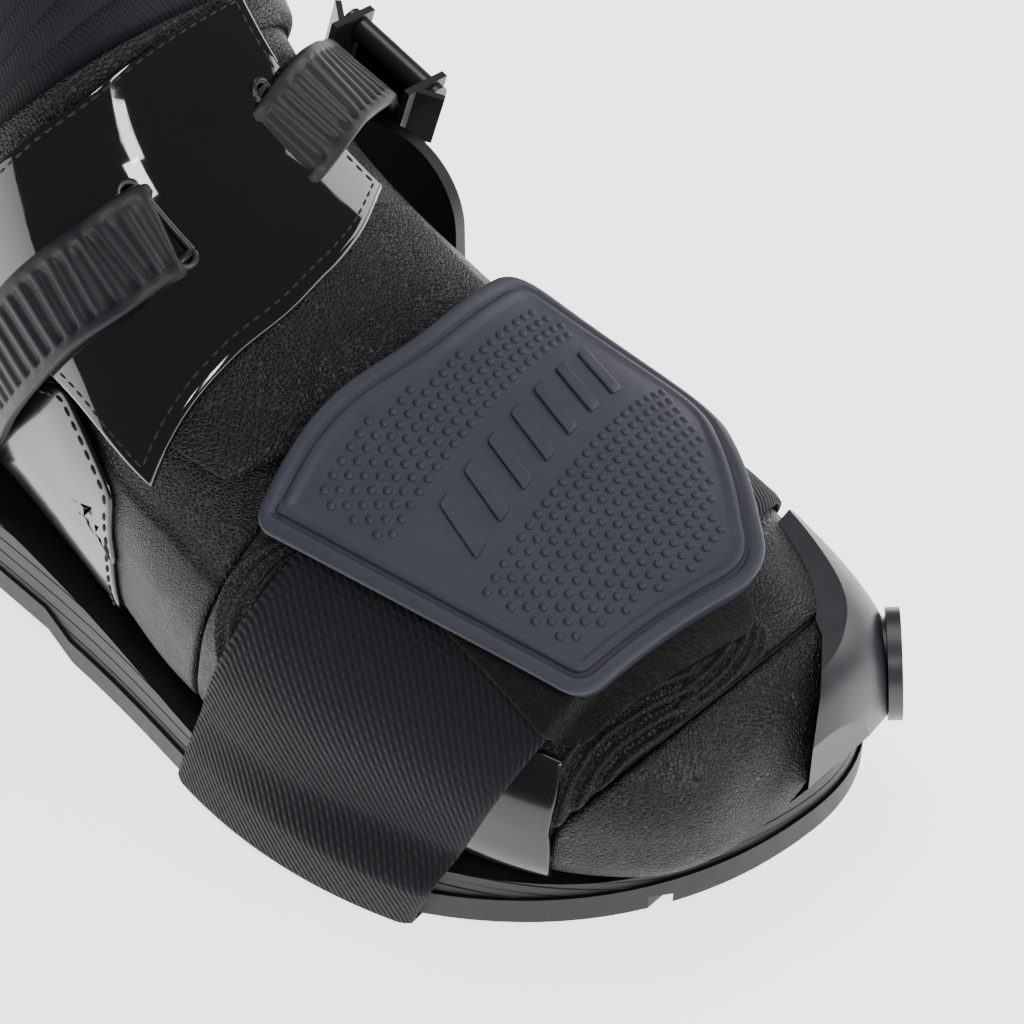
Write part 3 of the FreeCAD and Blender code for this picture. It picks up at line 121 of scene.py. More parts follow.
def locate(goal, axes, s, a):
    # Newton steps for the (s, a) whose two given coordinates match the goal points.
    goal = np.asarray(goal, float)
    s = np.broadcast_to(np.asarray(s, float), goal.shape[:-1]).copy()
    a = np.broadcast_to(np.asarray(a, float), goal.shape[:-1]).copy()
    tiny, flattest, sMost, aMost = 1e-4, 1e-6, 0.4, 0.15
    for _ in range(30):
        p = surf(s, a)[..., axes]
        ps = (surf(s + tiny, a)[..., axes] - p) / tiny
        pa = (surf(s, a + tiny)[..., axes] - p) / tiny
        miss = goal - p
        det = ps[..., 0] * pa[..., 1] - ps[..., 1] * pa[..., 0]
        det = np.where(np.abs(det) < flattest, flattest, det)
        s += np.clip((miss[..., 0] * pa[..., 1] - miss[..., 1] * pa[..., 0]) / det, -sMost, sMost)
        a += np.clip((ps[..., 0] * miss[..., 1] - ps[..., 1] * miss[..., 0]) / det, -aMost, aMost)
        s = np.clip(s, 0.02, 17)
    return s, a


def stationWhere(test, a, low=0.0, high=17.0, steps=1700, out=0.0):
    # First station, going up from low, where test(points) turns positive for each angle.
    grid = np.linspace(low, high, steps)
    value = test(surf(grid[:, None], np.asarray(a)[None, :], out))
    first = np.argmax(value > 0, axis=0)
    first = np.where((value > 0).any(0), np.maximum(first, 1), steps - 1)
    columns = np.arange(len(a))
    before, after = value[first - 1, columns], value[first, columns]
    share = np.clip(before / (before - after + 1e-12), 0, 1)
    return grid[first - 1] + share * (grid[first] - grid[first - 1])


# Mesh makers

def makePiece(name, points, faces, uv, material):
    # Puts points (mm) and quads into a mesh in metres, with an optional per-vertex uv in metres.
    mesh = bpy.data.meshes.new(name)
    mesh.from_pydata((np.asarray(points) / 1000).tolist(), [], [tuple(f) for f in faces])
    mesh.validate()
    loops = np.zeros(len(mesh.loops), int)
    mesh.loops.foreach_get("vertex_index", loops)
    layer = mesh.uv_layers.new(name="UVMap")
    if uv is None:
        uv = np.asarray(points)[:, :2] / 1000
    layer.data.foreach_set("uv", np.asarray(uv)[loops].astype(np.float32).ravel())
    mesh.polygons.foreach_set("use_smooth", np.ones(len(mesh.polygons), bool))
    mesh.update()
    piece = bpy.data.objects.new(name, mesh)
    bpy.context.scene.collection.objects.link(piece)
    mesh.materials.append(material)
    return piece


def wallFaces(keep, columns, outerAt, innerAt, closed):
    # Quads of a two-sided sheet on a grid: outer face, inner face and a wall wherever a kept quad has no
    # neighbour.
    i, j = np.nonzero(keep)
    j2 = (j + 1) % columns if closed else j + 1
    a, b, c, d = i * columns + j, (i + 1) * columns + j, (i + 1) * columns + j2, i * columns + j2
    faces = [np.stack([a, b, c, d], 1) + outerAt, np.stack([a, d, c, b], 1) + innerAt]
    pad = np.pad(keep, ((1, 1), (0, 0)))
    if closed:
        left, right = np.roll(keep, 1, 1), np.roll(keep, -1, 1)
    else:
        wide = np.pad(keep, ((0, 0), (1, 1)))
        left, right = wide[:, :-2], wide[:, 2:]
    for bare, p, q in ((~pad[:-2] & keep, (0, 0), (0, 1)), (~pad[2:] & keep, (1, 1), (1, 0)),
                        (~left & keep, (1, 0), (0, 0)), (~right & keep, (0, 1), (1, 1))):
        i, j = np.nonzero(bare)
        columnP = (j + p[1]) % columns if closed else j + p[1]
        columnQ = (j + q[1]) % columns if closed else j + q[1]
        p, q = (i + p[0]) * columns + columnP, (i + q[0]) * columns + columnQ
        faces.append(np.stack([p + outerAt, q + outerAt, q + innerAt, p + innerAt], 1))
    return np.concatenate(faces)


def lengthsAlong(line):
    # Distance along a line of points, from its first point to each.
    return np.concatenate([[0], np.cumsum(np.linalg.norm(np.diff(line, axis=0), axis=1))])


def gridLengths(points):
    # Arc lengths along the rows and along the columns of a grid of points.
    alongRows = np.linalg.norm(np.diff(points, axis=0), axis=-1)
    alongColumns = np.linalg.norm(np.diff(points, axis=1), axis=-1)
    u = np.concatenate([np.zeros((1, points.shape[1])), np.cumsum(alongRows, 0)])
    v = np.concatenate([np.zeros((points.shape[0], 1)), np.cumsum(alongColumns, 1)], 1)
    return u, v


def quadMiddles(points):
    # Middle of each quad of a grid of points.
    return (points[:-1, :-1] + points[1:, 1:] + points[1:, :-1] + points[:-1, 1:]) / 4


def sheetPiece(name, sGrid, aGrid, low, high, material, keep=None, closed=False, roundOff=0.0, crown=0.0):
    # A layer between two distances from the form, on a grid of stations and angles. Near its edges the outer
    # face falls along a quarter circle of radius roundOff; crown lifts its middle by a dome.
    rows, columns = sGrid.shape
    high = np.broadcast_to(np.asarray(high, float), sGrid.shape).copy()
    low = np.broadcast_to(np.asarray(low, float), sGrid.shape)
    base = surf(sGrid, aGrid, high)
    u, v = gridLengths(base)
    uEnd, vEnd = u[-1:], v[:, -1:]
    edge = np.minimum(u, uEnd - u) if closed else np.minimum(np.minimum(u, uEnd - u), np.minimum(v, vEnd - v))
    if crown:
        across = 1 - (2 * u / np.maximum(uEnd, 1e-6) - 1) ** 2
        along = 1 if closed else 1 - (2 * v / np.maximum(vEnd, 1e-6) - 1) ** 4
        high = high + crown * np.clip(across, 0, 1) ** 0.5 * np.clip(along, 0, 1) ** 0.5
    if roundOff:
        t = np.clip(1 - edge / roundOff, 0, 1)
        high = high - np.minimum(roundOff, (high - low) * 0.9) * (1 - np.sqrt(np.clip(1 - t * t, 0, 1)))
    points = np.concatenate([surf(sGrid, aGrid, high).reshape(-1, 3), surf(sGrid, aGrid, low).reshape(-1, 3)])
    if keep is None:
        keep = np.ones((rows - 1, columns if closed else columns - 1), bool)
    faces = wallFaces(keep, columns, 0, rows * columns, closed)
    flat = np.stack([u, v], -1).reshape(-1, 2) / 1000
    return makePiece(name, points, faces, np.concatenate([flat, flat]), material)


def curveThrough(points, u):
    # Cubic through the points, by chord length, read at shares u of the whole length.
    points = np.asarray(points, float)
    at = lengthsAlong(points * curveWeights(points))
    slopes = np.gradient(points, at, axis=0)
    x = np.asarray(u) * at[-1]
    k = np.clip(np.searchsorted(at, x, side="right") - 1, 0, len(at) - 2)
    width = (at[k + 1] - at[k])[:, None]
    t = ((x - at[k])[:, None]) / width
    mix = t * t * (3 - 2 * t)
    return (points[k] * (1 - mix) + points[k + 1] * mix + width * (t * (1 - t) ** 2 * slopes[k])
            - width * (t * t * (1 - t) * slopes[k + 1]))


def curveWeights(points):
    # Station and angle are not the same length, so a degree counts less in the chord of a (s, degree) curve.
    return np.array([1.0, 0.035]) if points.shape[1] == 2 else np.ones(points.shape[1])


def onForm(curve, u):
    # A curve of (station, degrees) read at shares u, as stations and radians.
    at = curveThrough(curve, u)
    return at[:, 0], at[:, 1] * deg


def patchGrid(front, rear, outerSide, innerSide, rows, columns):
    # Coons patch in (station, degrees): rows go from the front curve to the rear one, columns from the outer
    # side to the inner one.
    u, v = np.linspace(0, 1, rows), np.linspace(0, 1, columns)
    ahead, behind = curveThrough(front, v), curveThrough(rear, v)
    outer, inner = curveThrough(outerSide, u), curveThrough(innerSide, u)
    u, v = u[:, None, None], v[None, :, None]
    flat = ((1 - u) * ahead[None] + u * behind[None] + (1 - v) * outer[:, None] + v * inner[:, None]
            - (1 - u) * (1 - v) * ahead[0] - (1 - u) * v * ahead[-1]
            - u * (1 - v) * behind[0] - u * v * behind[-1])
    return flat[..., 0], flat[..., 1] * deg


def roundedOutline(corners, radius, count):
    # Closed outline with each corner replaced by a parabola of the given reach, in points evenly spaced along
    # its length.
    corners = np.asarray(corners, float)
    radius = np.broadcast_to(np.asarray(radius, float), len(corners))
    t = np.linspace(0, 1, 24)[:, None]
    pieces = []
    for k, corner in enumerate(corners):
        before, after = corners[k - 1] - corner, corners[(k + 1) % len(corners)] - corner
        p = corner + before / np.linalg.norm(before) * min(radius[k], np.linalg.norm(before) * 0.48)
        q = corner + after / np.linalg.norm(after) * min(radius[k], np.linalg.norm(after) * 0.48)
        pieces.append((1 - t) ** 2 * p + 2 * t * (1 - t) * corner + t * t * q)
    line = np.concatenate(pieces)
    return evenly(np.vstack([line, line[:1]]), count + 1)[:-1]


def evenly(line, count):
    # The line read again at count points, equal distances apart.
    at = lengthsAlong(line)
    x = np.linspace(0, at[-1], count)
    return np.stack([np.interp(x, at, line[:, k]) for k in range(line.shape[1])], 1)


def insetRings(outline, insets, shrinks):
    # Rings inside a closed outline: first moved inwards by each inset, then shrunk towards the middle point.
    around = np.roll(outline, -1, 0) - np.roll(outline, 1, 0)
    normal = np.stack([-around[:, 1], around[:, 0]], 1)
    normal /= np.linalg.norm(normal, axis=1, keepdims=True)
    middle = outline.mean(0)
    normal *= np.sign(((middle - outline) * normal).sum(1).mean())
    rings = [outline + normal * d for d in insets]
    last = rings[-1]
    rings += [middle + (last - middle) * f for f in shrinks]
    return np.array(rings)


def platePiece(name, rings, heights, low, axes, guess, material):
    # A plate on the form whose outline is given in two coordinates: each ring of points is found on the form
    # and stands at its own height; the last ring shrinks to a point; the underside is the same rings at low.
    s, a = locate(rings, axes, *guess)
    heights = np.asarray(heights, float)
    heights = heights[:, None] if heights.ndim == 1 else heights
    top = surf(s, a, heights)
    bottom = surf(s, a, low)
    count, around = top.shape[:2]
    ring = np.arange(around)
    nextRing = np.roll(ring, -1)
    turn = np.cross(top[0, 1] - top[0, 0], top[-1, 0] - top[0, 0]) @ outward(s[0, 0], a[0, 0])
    faces = []
    for offset, flip in ((0, False), (count * around, True)):
        for k in range(count - 1):
            p, q = k * around + ring + offset, (k + 1) * around + ring + offset
            quad = np.stack([p, k * around + nextRing + offset, (k + 1) * around + nextRing + offset, q], 1)
            faces.append(quad[:, ::-1] if flip else quad)
    faces.append(np.stack([ring, ring + count * around, nextRing + count * around, nextRing], 1))
    faces = np.concatenate(faces)
    if turn < 0:
        faces = faces[:, ::-1]
    points = np.concatenate([top.reshape(-1, 3), bottom.reshape(-1, 3)])
    flat = rings.reshape(-1, 2) / 1000
    piece = makePiece(name, points, faces, np.concatenate([flat, flat]), material)
    mergeClose(piece)
    return piece


def mergeClose(piece, distance=1e-6):
    # Joins vertices that lie within the distance, in metres, such as the last ring of a plate.
    work = bmesh.new()
    work.from_mesh(piece.data)
    bmesh.ops.remove_doubles(work, verts=work.verts, dist=distance)
    work.to_mesh(piece.data)
    work.free()


def beads(name, centres, along, up, size, material, around=6, rings=4):
    # Many small domes or beads: a low ellipsoid of half sizes (along, across, up) set at each centre.
    phi = np.linspace(0, math.pi, rings + 1)[1:-1]
    theta = np.arange(around) * 2 * math.pi / around
    ball = [np.array([[-1.0, 0, 0]])]
    for p in phi:
        ball.append(np.stack([np.full(around, -math.cos(p)), math.sin(p) * np.cos(theta),
                              math.sin(p) * np.sin(theta)], 1))
    ball.append(np.array([[1.0, 0, 0]]))
    ball = np.concatenate(ball)
    quads = []
    for k in range(around):
        n = (k + 1) % around
        quads.append((0, 1 + n, 1 + k))
        for r in range(len(phi) - 1):
            b = 1 + r * around
            quads.append((b + k, b + n, b + around + n, b + around + k))
        b = 1 + (len(phi) - 1) * around
        quads.append((b + k, b + n, len(ball) - 1))
    along = along / np.linalg.norm(along, axis=1, keepdims=True)
    up = up - along * (up * along).sum(1, keepdims=True)
    up = up / np.linalg.norm(up, axis=1, keepdims=True)
    across = np.cross(up, along)
    size = np.broadcast_to(np.asarray(size, float), (len(centres), 3))
    points = (centres[:, None] + along[:, None] * ball[None, :, :1] * size[:, None, :1]
              + across[:, None] * ball[None, :, 1:2] * size[:, None, 1:2]
              + up[:, None] * ball[None, :, 2:3] * size[:, None, 2:3]).reshape(-1, 3)
    faces = []
    for quad in quads:
        block = np.array(quad)[None] + np.arange(len(centres))[:, None] * len(ball)
        faces += block.tolist()
    return makePiece(name, points, faces, None, material)


def tube(name, path, up, profile, material, closed=False):
    # A closed profile (across, up) carried along a path; its ends are closed by one face each. The uv is
    # length and girth.
    path, up, profile = np.asarray(path, float), np.asarray(up, float), np.asarray(profile, float)
    ahead = (np.roll(path, -1, 0) - np.roll(path, 1, 0)) if closed else np.gradient(path, axis=0)
    ahead /= np.linalg.norm(ahead, axis=1, keepdims=True)
    up = up - ahead * (up * ahead).sum(1, keepdims=True)
    up /= np.linalg.norm(up, axis=1, keepdims=True)
    across = np.cross(ahead, up)
    if profile.ndim == 2:
        profile = np.broadcast_to(profile, (len(path),) + profile.shape)
    points = path[:, None] + across[:, None] * profile[..., :1] + up[:, None] * profile[..., 1:]
    rows, columns = points.shape[:2]
    i, j = np.meshgrid(np.arange(rows if closed else rows - 1), np.arange(columns), indexing="ij")
    i, j = i.ravel(), j.ravel()
    i2, j2 = (i + 1) % rows, (j + 1) % columns
    faces = np.stack([i * columns + j, i * columns + j2, i2 * columns + j2, i2 * columns + j], 1).tolist()
    length = lengthsAlong(path)
    girth = np.cumsum(np.linalg.norm(np.diff(profile[0], axis=0, prepend=profile[0, :1]), axis=1))
    uv = np.stack(np.meshgrid(length, girth, indexing="ij"), -1).reshape(-1, 2) / 1000
    if not closed:
        faces.append(tuple(range(columns))[::-1])
        faces.append(tuple(range((rows - 1) * columns, rows * columns)))
    return makePiece(name, points.reshape(-1, 3), faces, uv, material)


def circle(radius, count=10):
    t = np.arange(count) * 2 * math.pi / count
    return np.stack([-radius * np.cos(t), radius * np.sin(t)], 1)


def rides(piece, body, slotName, *nodes):
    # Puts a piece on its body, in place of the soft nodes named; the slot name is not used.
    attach(piece, body)
    if nodes:
        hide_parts(*nodes)


def stitches(name, s, a, out, material, pitch=3.4, length=2.5, thick=0.42, body="foot"):
    # A row of thread beads along a curve on the form, one each pitch, each sunk by half its height.
    line = surf(s, a, out)
    steps = lengthsAlong(line)
    at = np.arange(pitch / 2, steps[-1], pitch)
    index = np.interp(at, steps, np.arange(len(s)))
    sAt, aAt = np.interp(index, np.arange(len(s)), s), np.interp(index, np.arange(len(s)), a)
    centres = surf(sAt, aAt, out)
    along = np.stack([np.interp(at + 0.5, steps, line[:, k]) - np.interp(at - 0.5, steps, line[:, k])
                      for k in range(3)], 1)
    piece = beads(name, centres, along, outward(sAt, aAt, out), (length / 2, thick, thick), material)
    rides(piece, body, "textile")


# Materials

class Finish:
    # A node material being put together: keeps the shader, the links and the coordinate sockets at hand.
    def __init__(self, name, color, roughness, **sockets):
        self.material = bpy.data.materials.new(name)
        self.material.use_nodes = True
        self.nodes, self.links = self.material.node_tree.nodes, self.material.node_tree.links
        self.shader = self.nodes["Principled BSDF"]
        self.color = color
        self.shader.inputs["Base Color"].default_value = (*color, 1)
        self.shader.inputs["Roughness"].default_value = roughness
        self.shader.inputs["Specular IOR Level"].default_value = 0.5
        for key, value in sockets.items():
            self.shader.inputs[key.replace("_", " ")].default_value = value
        place = self.nodes.new("ShaderNodeTexCoord")
        self.spot, self.cloth = place.outputs["Object"], place.outputs["UV"]
        self.height = None

    def add(self, kind, **values):
        node = self.nodes.new("ShaderNode" + kind)
        for key, value in values.items():
            setattr(node, key, value)
        return node

    def join(self, source, target):
        if isinstance(source, (int, float)):
            target.default_value = source
        else:
            self.links.new(source, target)

    def sum(self, operation, a, b=0.0, c=None):
        node = self.add("Math", operation=operation)
        self.join(a, node.inputs[0])
        self.join(b, node.inputs[1])
        if c is not None:
            self.join(c, node.inputs[2])
        return node.outputs[0]

    def noise(self, scale, detail=2.0, rough=0.5):
        node = self.add("TexNoise")
        node.inputs["Scale"].default_value = scale
        node.inputs["Detail"].default_value = detail
        node.inputs["Roughness"].default_value = rough
        self.links.new(self.spot, node.inputs["Vector"])
        return node.outputs["Fac"]

    def cells(self, scale):
        # distance from the edges of irregular cells
        node = self.add("TexVoronoi", feature="DISTANCE_TO_EDGE")
        node.inputs["Scale"].default_value = scale
        self.links.new(self.spot, node.inputs["Vector"])
        return node.outputs["Distance"]

    def axes(self, where=None):
        node = self.add("SeparateXYZ")
        self.links.new(where or self.cloth, node.inputs[0])
        return node.outputs

    def wave(self, coordinate, period):
        # sine of the coordinate with the given period in metres
        return self.sum("SINE", self.sum("MULTIPLY", coordinate, 2 * math.pi / period))

    def spread(self, value, low, high):
        node = self.add("MapRange")
        self.links.new(value, node.inputs["Value"])
        node.inputs["From Min"].default_value, node.inputs["From Max"].default_value = low, high
        return node.outputs["Result"]

    def shade(self, value, low, high):
        # base colour between two multiples of the finish's own colour
        node = self.add("Mix", data_type="RGBA")
        self.links.new(value, node.inputs["Factor"])
        node.inputs[6].default_value = (*[c * low for c in self.color], 1)
        node.inputs[7].default_value = (*[c * high for c in self.color], 1)
        self.links.new(node.outputs[2], self.shader.inputs["Base Color"])

    def rough(self, value, low, high):
        node = self.add("MapRange")
        self.links.new(value, node.inputs["Value"])
        node.inputs["To Min"].default_value, node.inputs["To Max"].default_value = low, high
        self.links.new(node.outputs["Result"], self.shader.inputs["Roughness"])

    def bump(self, value, distance, strength=1.0):
        node = self.add("Bump")
        node.inputs["Strength"].default_value = strength
        node.inputs["Distance"].default_value = distance
        self.links.new(value, node.inputs["Height"])
        if self.height is not None:
            self.links.new(self.height, node.inputs["Normal"])
        self.height = node.outputs["Normal"]
        self.links.new(self.height, self.shader.inputs["Normal"])


def leatherFinish(name, color, roughness, grain, depth):
    # Leather: fine cells with creases between them, broad uneven tone, slightly rubbed sheen.
    made = Finish(name, color, roughness, Specular_IOR_Level=0.3)
    tone = made.noise(55, 4, 0.6)
    made.shade(tone, 0.75, 1.35)
    made.rough(made.noise(160, 3), roughness - 0.08, roughness + 0.1)
    creases = made.spread(made.cells(grain), 0.0, 0.22)
    made.bump(made.noise(70, 3), 0.0006, 0.5)
    made.bump(creases, depth, 0.75)
    return made.material


def plasticFinish(name, color, roughness, texture=2600, depth=0.00002):
    # Moulded plastic: faint spark-eroded texture and a little wandering gloss.
    made = Finish(name, color, roughness)
    made.shade(made.noise(90, 3), 0.8, 1.25)
    made.rough(made.noise(240, 2), roughness - 0.06, roughness + 0.08)
    made.bump(made.noise(texture, 2), depth, 0.6)
    return made.material


def rubberFinish(name, color, roughness):
    # Rubber: dull, with a dusty bloom and a very fine matte skin.
    made = Finish(name, color, roughness, Specular_IOR_Level=0.35)
    made.shade(made.noise(120, 5, 0.65), 0.75, 1.3)
    made.rough(made.noise(400, 2), roughness - 0.07, roughness + 0.07)
    made.bump(made.noise(3500, 2), 0.00004, 0.7)
    return made.material


def weaveFinish(name, color, roughness, pitch, depth, where="cloth"):
    # Plain weave: product of two sines of the cloth's own coordinates, one thread a pitch.
    made = Finish(name, color, roughness, Sheen_Weight=0.08, Sheen_Roughness=0.5, Specular_IOR_Level=0.2)
    x, y, z = made.axes(made.cloth if where == "cloth" else made.spot)
    if where != "cloth":
        x = made.sum("ADD", x, y)
        y = z
    woven = made.sum("MULTIPLY", made.wave(x, pitch), made.wave(y, pitch))
    level = made.sum("MULTIPLY_ADD", woven, 0.5, 0.5)
    made.shade(level, 0.55, 1.5)
    made.bump(level, depth, 0.9)
    made.bump(made.noise(900, 3), 0.00012, 0.4)
    return made.material


def knitFinish(name, color, roughness, rib, slant, depth):
    # Elastic knit: slanting ribs, broken into dashes by a second wave along the band.
    made = Finish(name, color, roughness, Sheen_Weight=0.06, Sheen_Roughness=0.45, Specular_IOR_Level=0.22)
    x, y, _ = made.axes()
    lean = made.sum("ADD", x, made.sum("MULTIPLY", y, slant))
    ribs = made.wave(lean, rib)
    dashes = made.wave(made.sum("SUBTRACT", y, made.sum("MULTIPLY", x, slant * 0.4)), rib * 1.25)
    level = made.sum("MULTIPLY_ADD", made.sum("MULTIPLY", ribs, made.sum("MULTIPLY_ADD", dashes, 0.35, 0.65)),
                     0.5, 0.5)
    made.shade(level, 0.3, 1.9)
    made.bump(level, depth, 1.0)
    made.bump(made.noise(1200, 3), 0.0001, 0.5)
    return made.material


def feltFinish(name, color):
    # Brushed loop felt: tangled noise at two scales with strong sheen.
    made = Finish(name, color, 0.95, Sheen_Weight=0.16, Sheen_Roughness=0.4, Specular_IOR_Level=0.1)
    loops = made.noise(1500, 6, 0.75)
    made.shade(loops, 0.2, 1.9)
    made.bump(made.noise(500, 4, 0.7), 0.0012, 0.8)
    made.bump(loops, 0.0008, 1.0)
    return made.material


def metalFinish(name, color, roughness):
    # Metal: rubbed tone, uneven gloss and a very fine tooth.
    made = Finish(name, color, roughness, Metallic=1.0)
    made.shade(made.noise(300, 4), 0.7, 1.3)
    made.rough(made.noise(800, 2), roughness - 0.08, roughness + 0.1)
    made.bump(made.noise(2400, 2), 0.00002, 0.5)
    return made.material


def patentFinish(name, color, wave, roughness=0.05, coat=1.0):
    # Patent: a clear mirror coat over black, with the soft waves of the leather below.
    made = Finish(name, color, roughness, Coat_Weight=coat, Coat_Roughness=0.03, Specular_IOR_Level=0.4)
    made.shade(made.noise(40, 2), 0.7, 1.3)
    made.bump(made.noise(26, 2), wave, 0.6)
    made.bump(made.noise(110, 2), wave * 0.12, 0.5)
    return made.material


def soleFinish(name, color, lowEdge, pitch):
    # Sole rubber with moulded lines round the side: a sine of the height.
    made = Finish(name, color, 0.55, Specular_IOR_Level=0.4)
    _, _, z = made.axes(made.spot)
    lines = made.spread(made.wave(made.sum("SUBTRACT", z, lowEdge), pitch), -0.5, 0.2)
    made.shade(made.noise(150, 4, 0.6), 0.75, 1.3)
    made.bump(lines, 0.0009, 1.0)
    made.bump(made.noise(2500, 2), 0.00004, 0.6)
    return made.material


finishes = {
    "leather": leatherFinish("blackLeather", (0.0062, 0.0063, 0.0074), 0.42, 1150, 0.0003),
    "softLeather": leatherFinish("softLeather", (0.0068, 0.0069, 0.0082), 0.45, 950, 0.0004),
    "smooth": leatherFinish("smoothLeather", (0.0080, 0.0080, 0.0092), 0.16, 1700, 0.00004),
    "patent": patentFinish("patent", (0.0035, 0.0035, 0.0042), 0.0011),
    "gloss": patentFinish("glossPanel", (0.0050, 0.0050, 0.0060), 0.0007, 0.2, 0.25),
    "padRubber": rubberFinish("padRubber", (0.0250, 0.0272, 0.0390), 0.54),
    "strapRubber": rubberFinish("strapRubber", (0.0085, 0.0090, 0.0110), 0.48),
    "soleRubber": rubberFinish("soleRubber", (0.0050, 0.0050, 0.0056), 0.55),
    "sideRubber": soleFinish("sideRubber", (0.0050, 0.0050, 0.0056), 0.0065, 0.0043),
    "knit": knitFinish("bandKnit", (0.0050, 0.0054, 0.0072), 0.8, 0.0019, 0.55, 0.0006),
    "felt": feltFinish("loopFelt", (0.0030, 0.0030, 0.0036)),
    "mesh": weaveFinish("meshCloth", (0.0110, 0.0110, 0.0125), 0.7, 0.0022, 0.0004),
    "textile": weaveFinish("shaftTextile", (0.0075, 0.0078, 0.0105), 0.8, 0.0013, 0.0003),
    "lining": weaveFinish("liningCloth", (0.0300, 0.0300, 0.0320), 0.9, 0.0016, 0.0002),
    "satin": plasticFinish("satinPlastic", (0.0120, 0.0122, 0.0135), 0.30),
    "slider": plasticFinish("sliderPlastic", (0.0180, 0.0185, 0.0215), 0.36, 3000, 0.00001),
    "matte": plasticFinish("mattePlastic", (0.0110, 0.0112, 0.0125), 0.42, 1900, 0.00004),
    "plate": plasticFinish("flatBlack", (0.0055, 0.0055, 0.0060), 0.50, 2200, 0.00003),
    "blackSteel": metalFinish("blackSteel", (0.045, 0.045, 0.048), 0.34),
    "steel": metalFinish("brushedSteel", (0.40, 0.40, 0.41), 0.36),
    "board": leatherFinish("fibreBoard", (0.10, 0.08, 0.055), 0.8, 700, 0.0001),
    "foam": feltFinish("openFoam", (0.03, 0.03, 0.033)),
    "thread": weaveFinish("thread", (0.0150, 0.0150, 0.0165), 0.6, 0.0006, 0.0001, "spot"),
}
cadFinish = {
    "outsole": "soleRubber", "midsole": "sideRubber", "steel_shank": "steel", "insole_board": "board",
    "footbed": "foam", "toe_stiffener": "board", "heel_counter": "board", "foot_padding": "foam",
    "shaft_padding": "foam", "heel_guard": "matte", "slider_boss": "slider", "slider_screws": "blackSteel",
    "toe_slider": "slider", "ankle_plate": "plate", "plate_spacers": "matte", "plate_screws": "blackSteel",
    "buckle_base": "satin", "buckle_pin": "satin", "pawl_pin": "blackSteel", "buckle_rivets": "blackSteel",
    "buckle_lever": "satin", "buckle_pawl": "blackSteel", "strap_anchor": "blackSteel",
    "anchor_screw": "blackSteel", "shin_plate": "matte", "outer_ankle_guard": "matte",
    "inner_ankle_guard": "matte", "zip_tapes": "textile", "zip_teeth": "blackSteel", "zip_stop": "blackSteel",
    "zip_slider": "blackSteel", "zip_pull": "blackSteel",
}
for node, finish in cadFinish.items():
    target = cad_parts[node]
    target.data.materials.clear()
    target.data.materials.append(finishes[finish])
print("materials made")


# Leather of the foot

def sideTest(line, byHeight):
    # Signed test for a seam drawn as (y, z) points: positive on its heel side, or above it.
    line = np.asarray(line, float)
    if byHeight:
        return lambda p: p[..., 1] - np.interp(p[..., 2], line[:, 1], line[:, 0])
    return lambda p: p[..., 2] - np.interp(p[..., 1], line[:, 0], line[:, 1])


seams = {
    "toe": sideTest([(-118, 0), (-124, 34), (-139, 60), (-139, 90)], True),
    "vamp": sideTest([(-30, 0), (-46, 60), (-58, 130)], True),
    "footRim": sideTest([(-52, 215.2), (68, 93), (128, 119), (200, 150.2)], False),
    "shaftRim": sideTest([(-50, 307), (68, 103), (128, 138), (200, 180)], False),
}
sole = {"outerAngle": -57 * deg, "innerAngle": 237 * deg, "seamGap": 0.012, "rimGap": 0.01,
        "leatherLow": -1.9}


def gradedShares(count, edge=0.012):
    # Shares from 0 to 1, closer together at both ends.
    return np.concatenate([[0, edge * 0.25, edge * 0.6], np.linspace(edge, 1 - edge, count),
                           [1 - edge * 0.6, 1 - edge * 0.25, 1]])


def ringGrid(fromStation, toStation, a, rows):
    # Grid of stations and angles: rows go from one edge to the other, closer together near both.
    share = gradedShares(rows)[:, None]
    stations = fromStation[None] + (toStation - fromStation)[None] * share
    return stations, np.broadcast_to(a[None], stations.shape)


def ridge(distance, width):
    # Smooth bump of height 1 and the given half width.
    return np.clip(1 - (distance / width) ** 2, 0, None) ** 1.5


def nearest(points, curve):
    # Distance from each grid point to a curve given as points, by blocks to save memory.
    flat = points.reshape(-1, 3)
    best = np.full(len(flat), 1e9)
    for k in range(0, len(curve), 8):
        block = curve[k:k + 8]
        gap = np.sqrt(((flat[:, None] - block[None]) ** 2).sum(-1)).min(1)
        best = np.minimum(best, gap)
    return best.reshape(points.shape[:-1])


around = np.linspace(sole["outerAngle"], sole["innerAngle"], 360)
toeSeam = stationWhere(seams["toe"], around)
vampSeam = stationWhere(seams["vamp"], around, 2.0)
sGrid, aGrid = ringGrid(np.full(len(around), -1.0), toeSeam - sole["seamGap"], around, 120)
toeLeather = sheetPiece("toeLeather", sGrid, aGrid, sole["leatherLow"], 0.0, finishes["leather"],
                        roundOff=1.6)
rides(toeLeather, "foot", "leather", "toe_box")

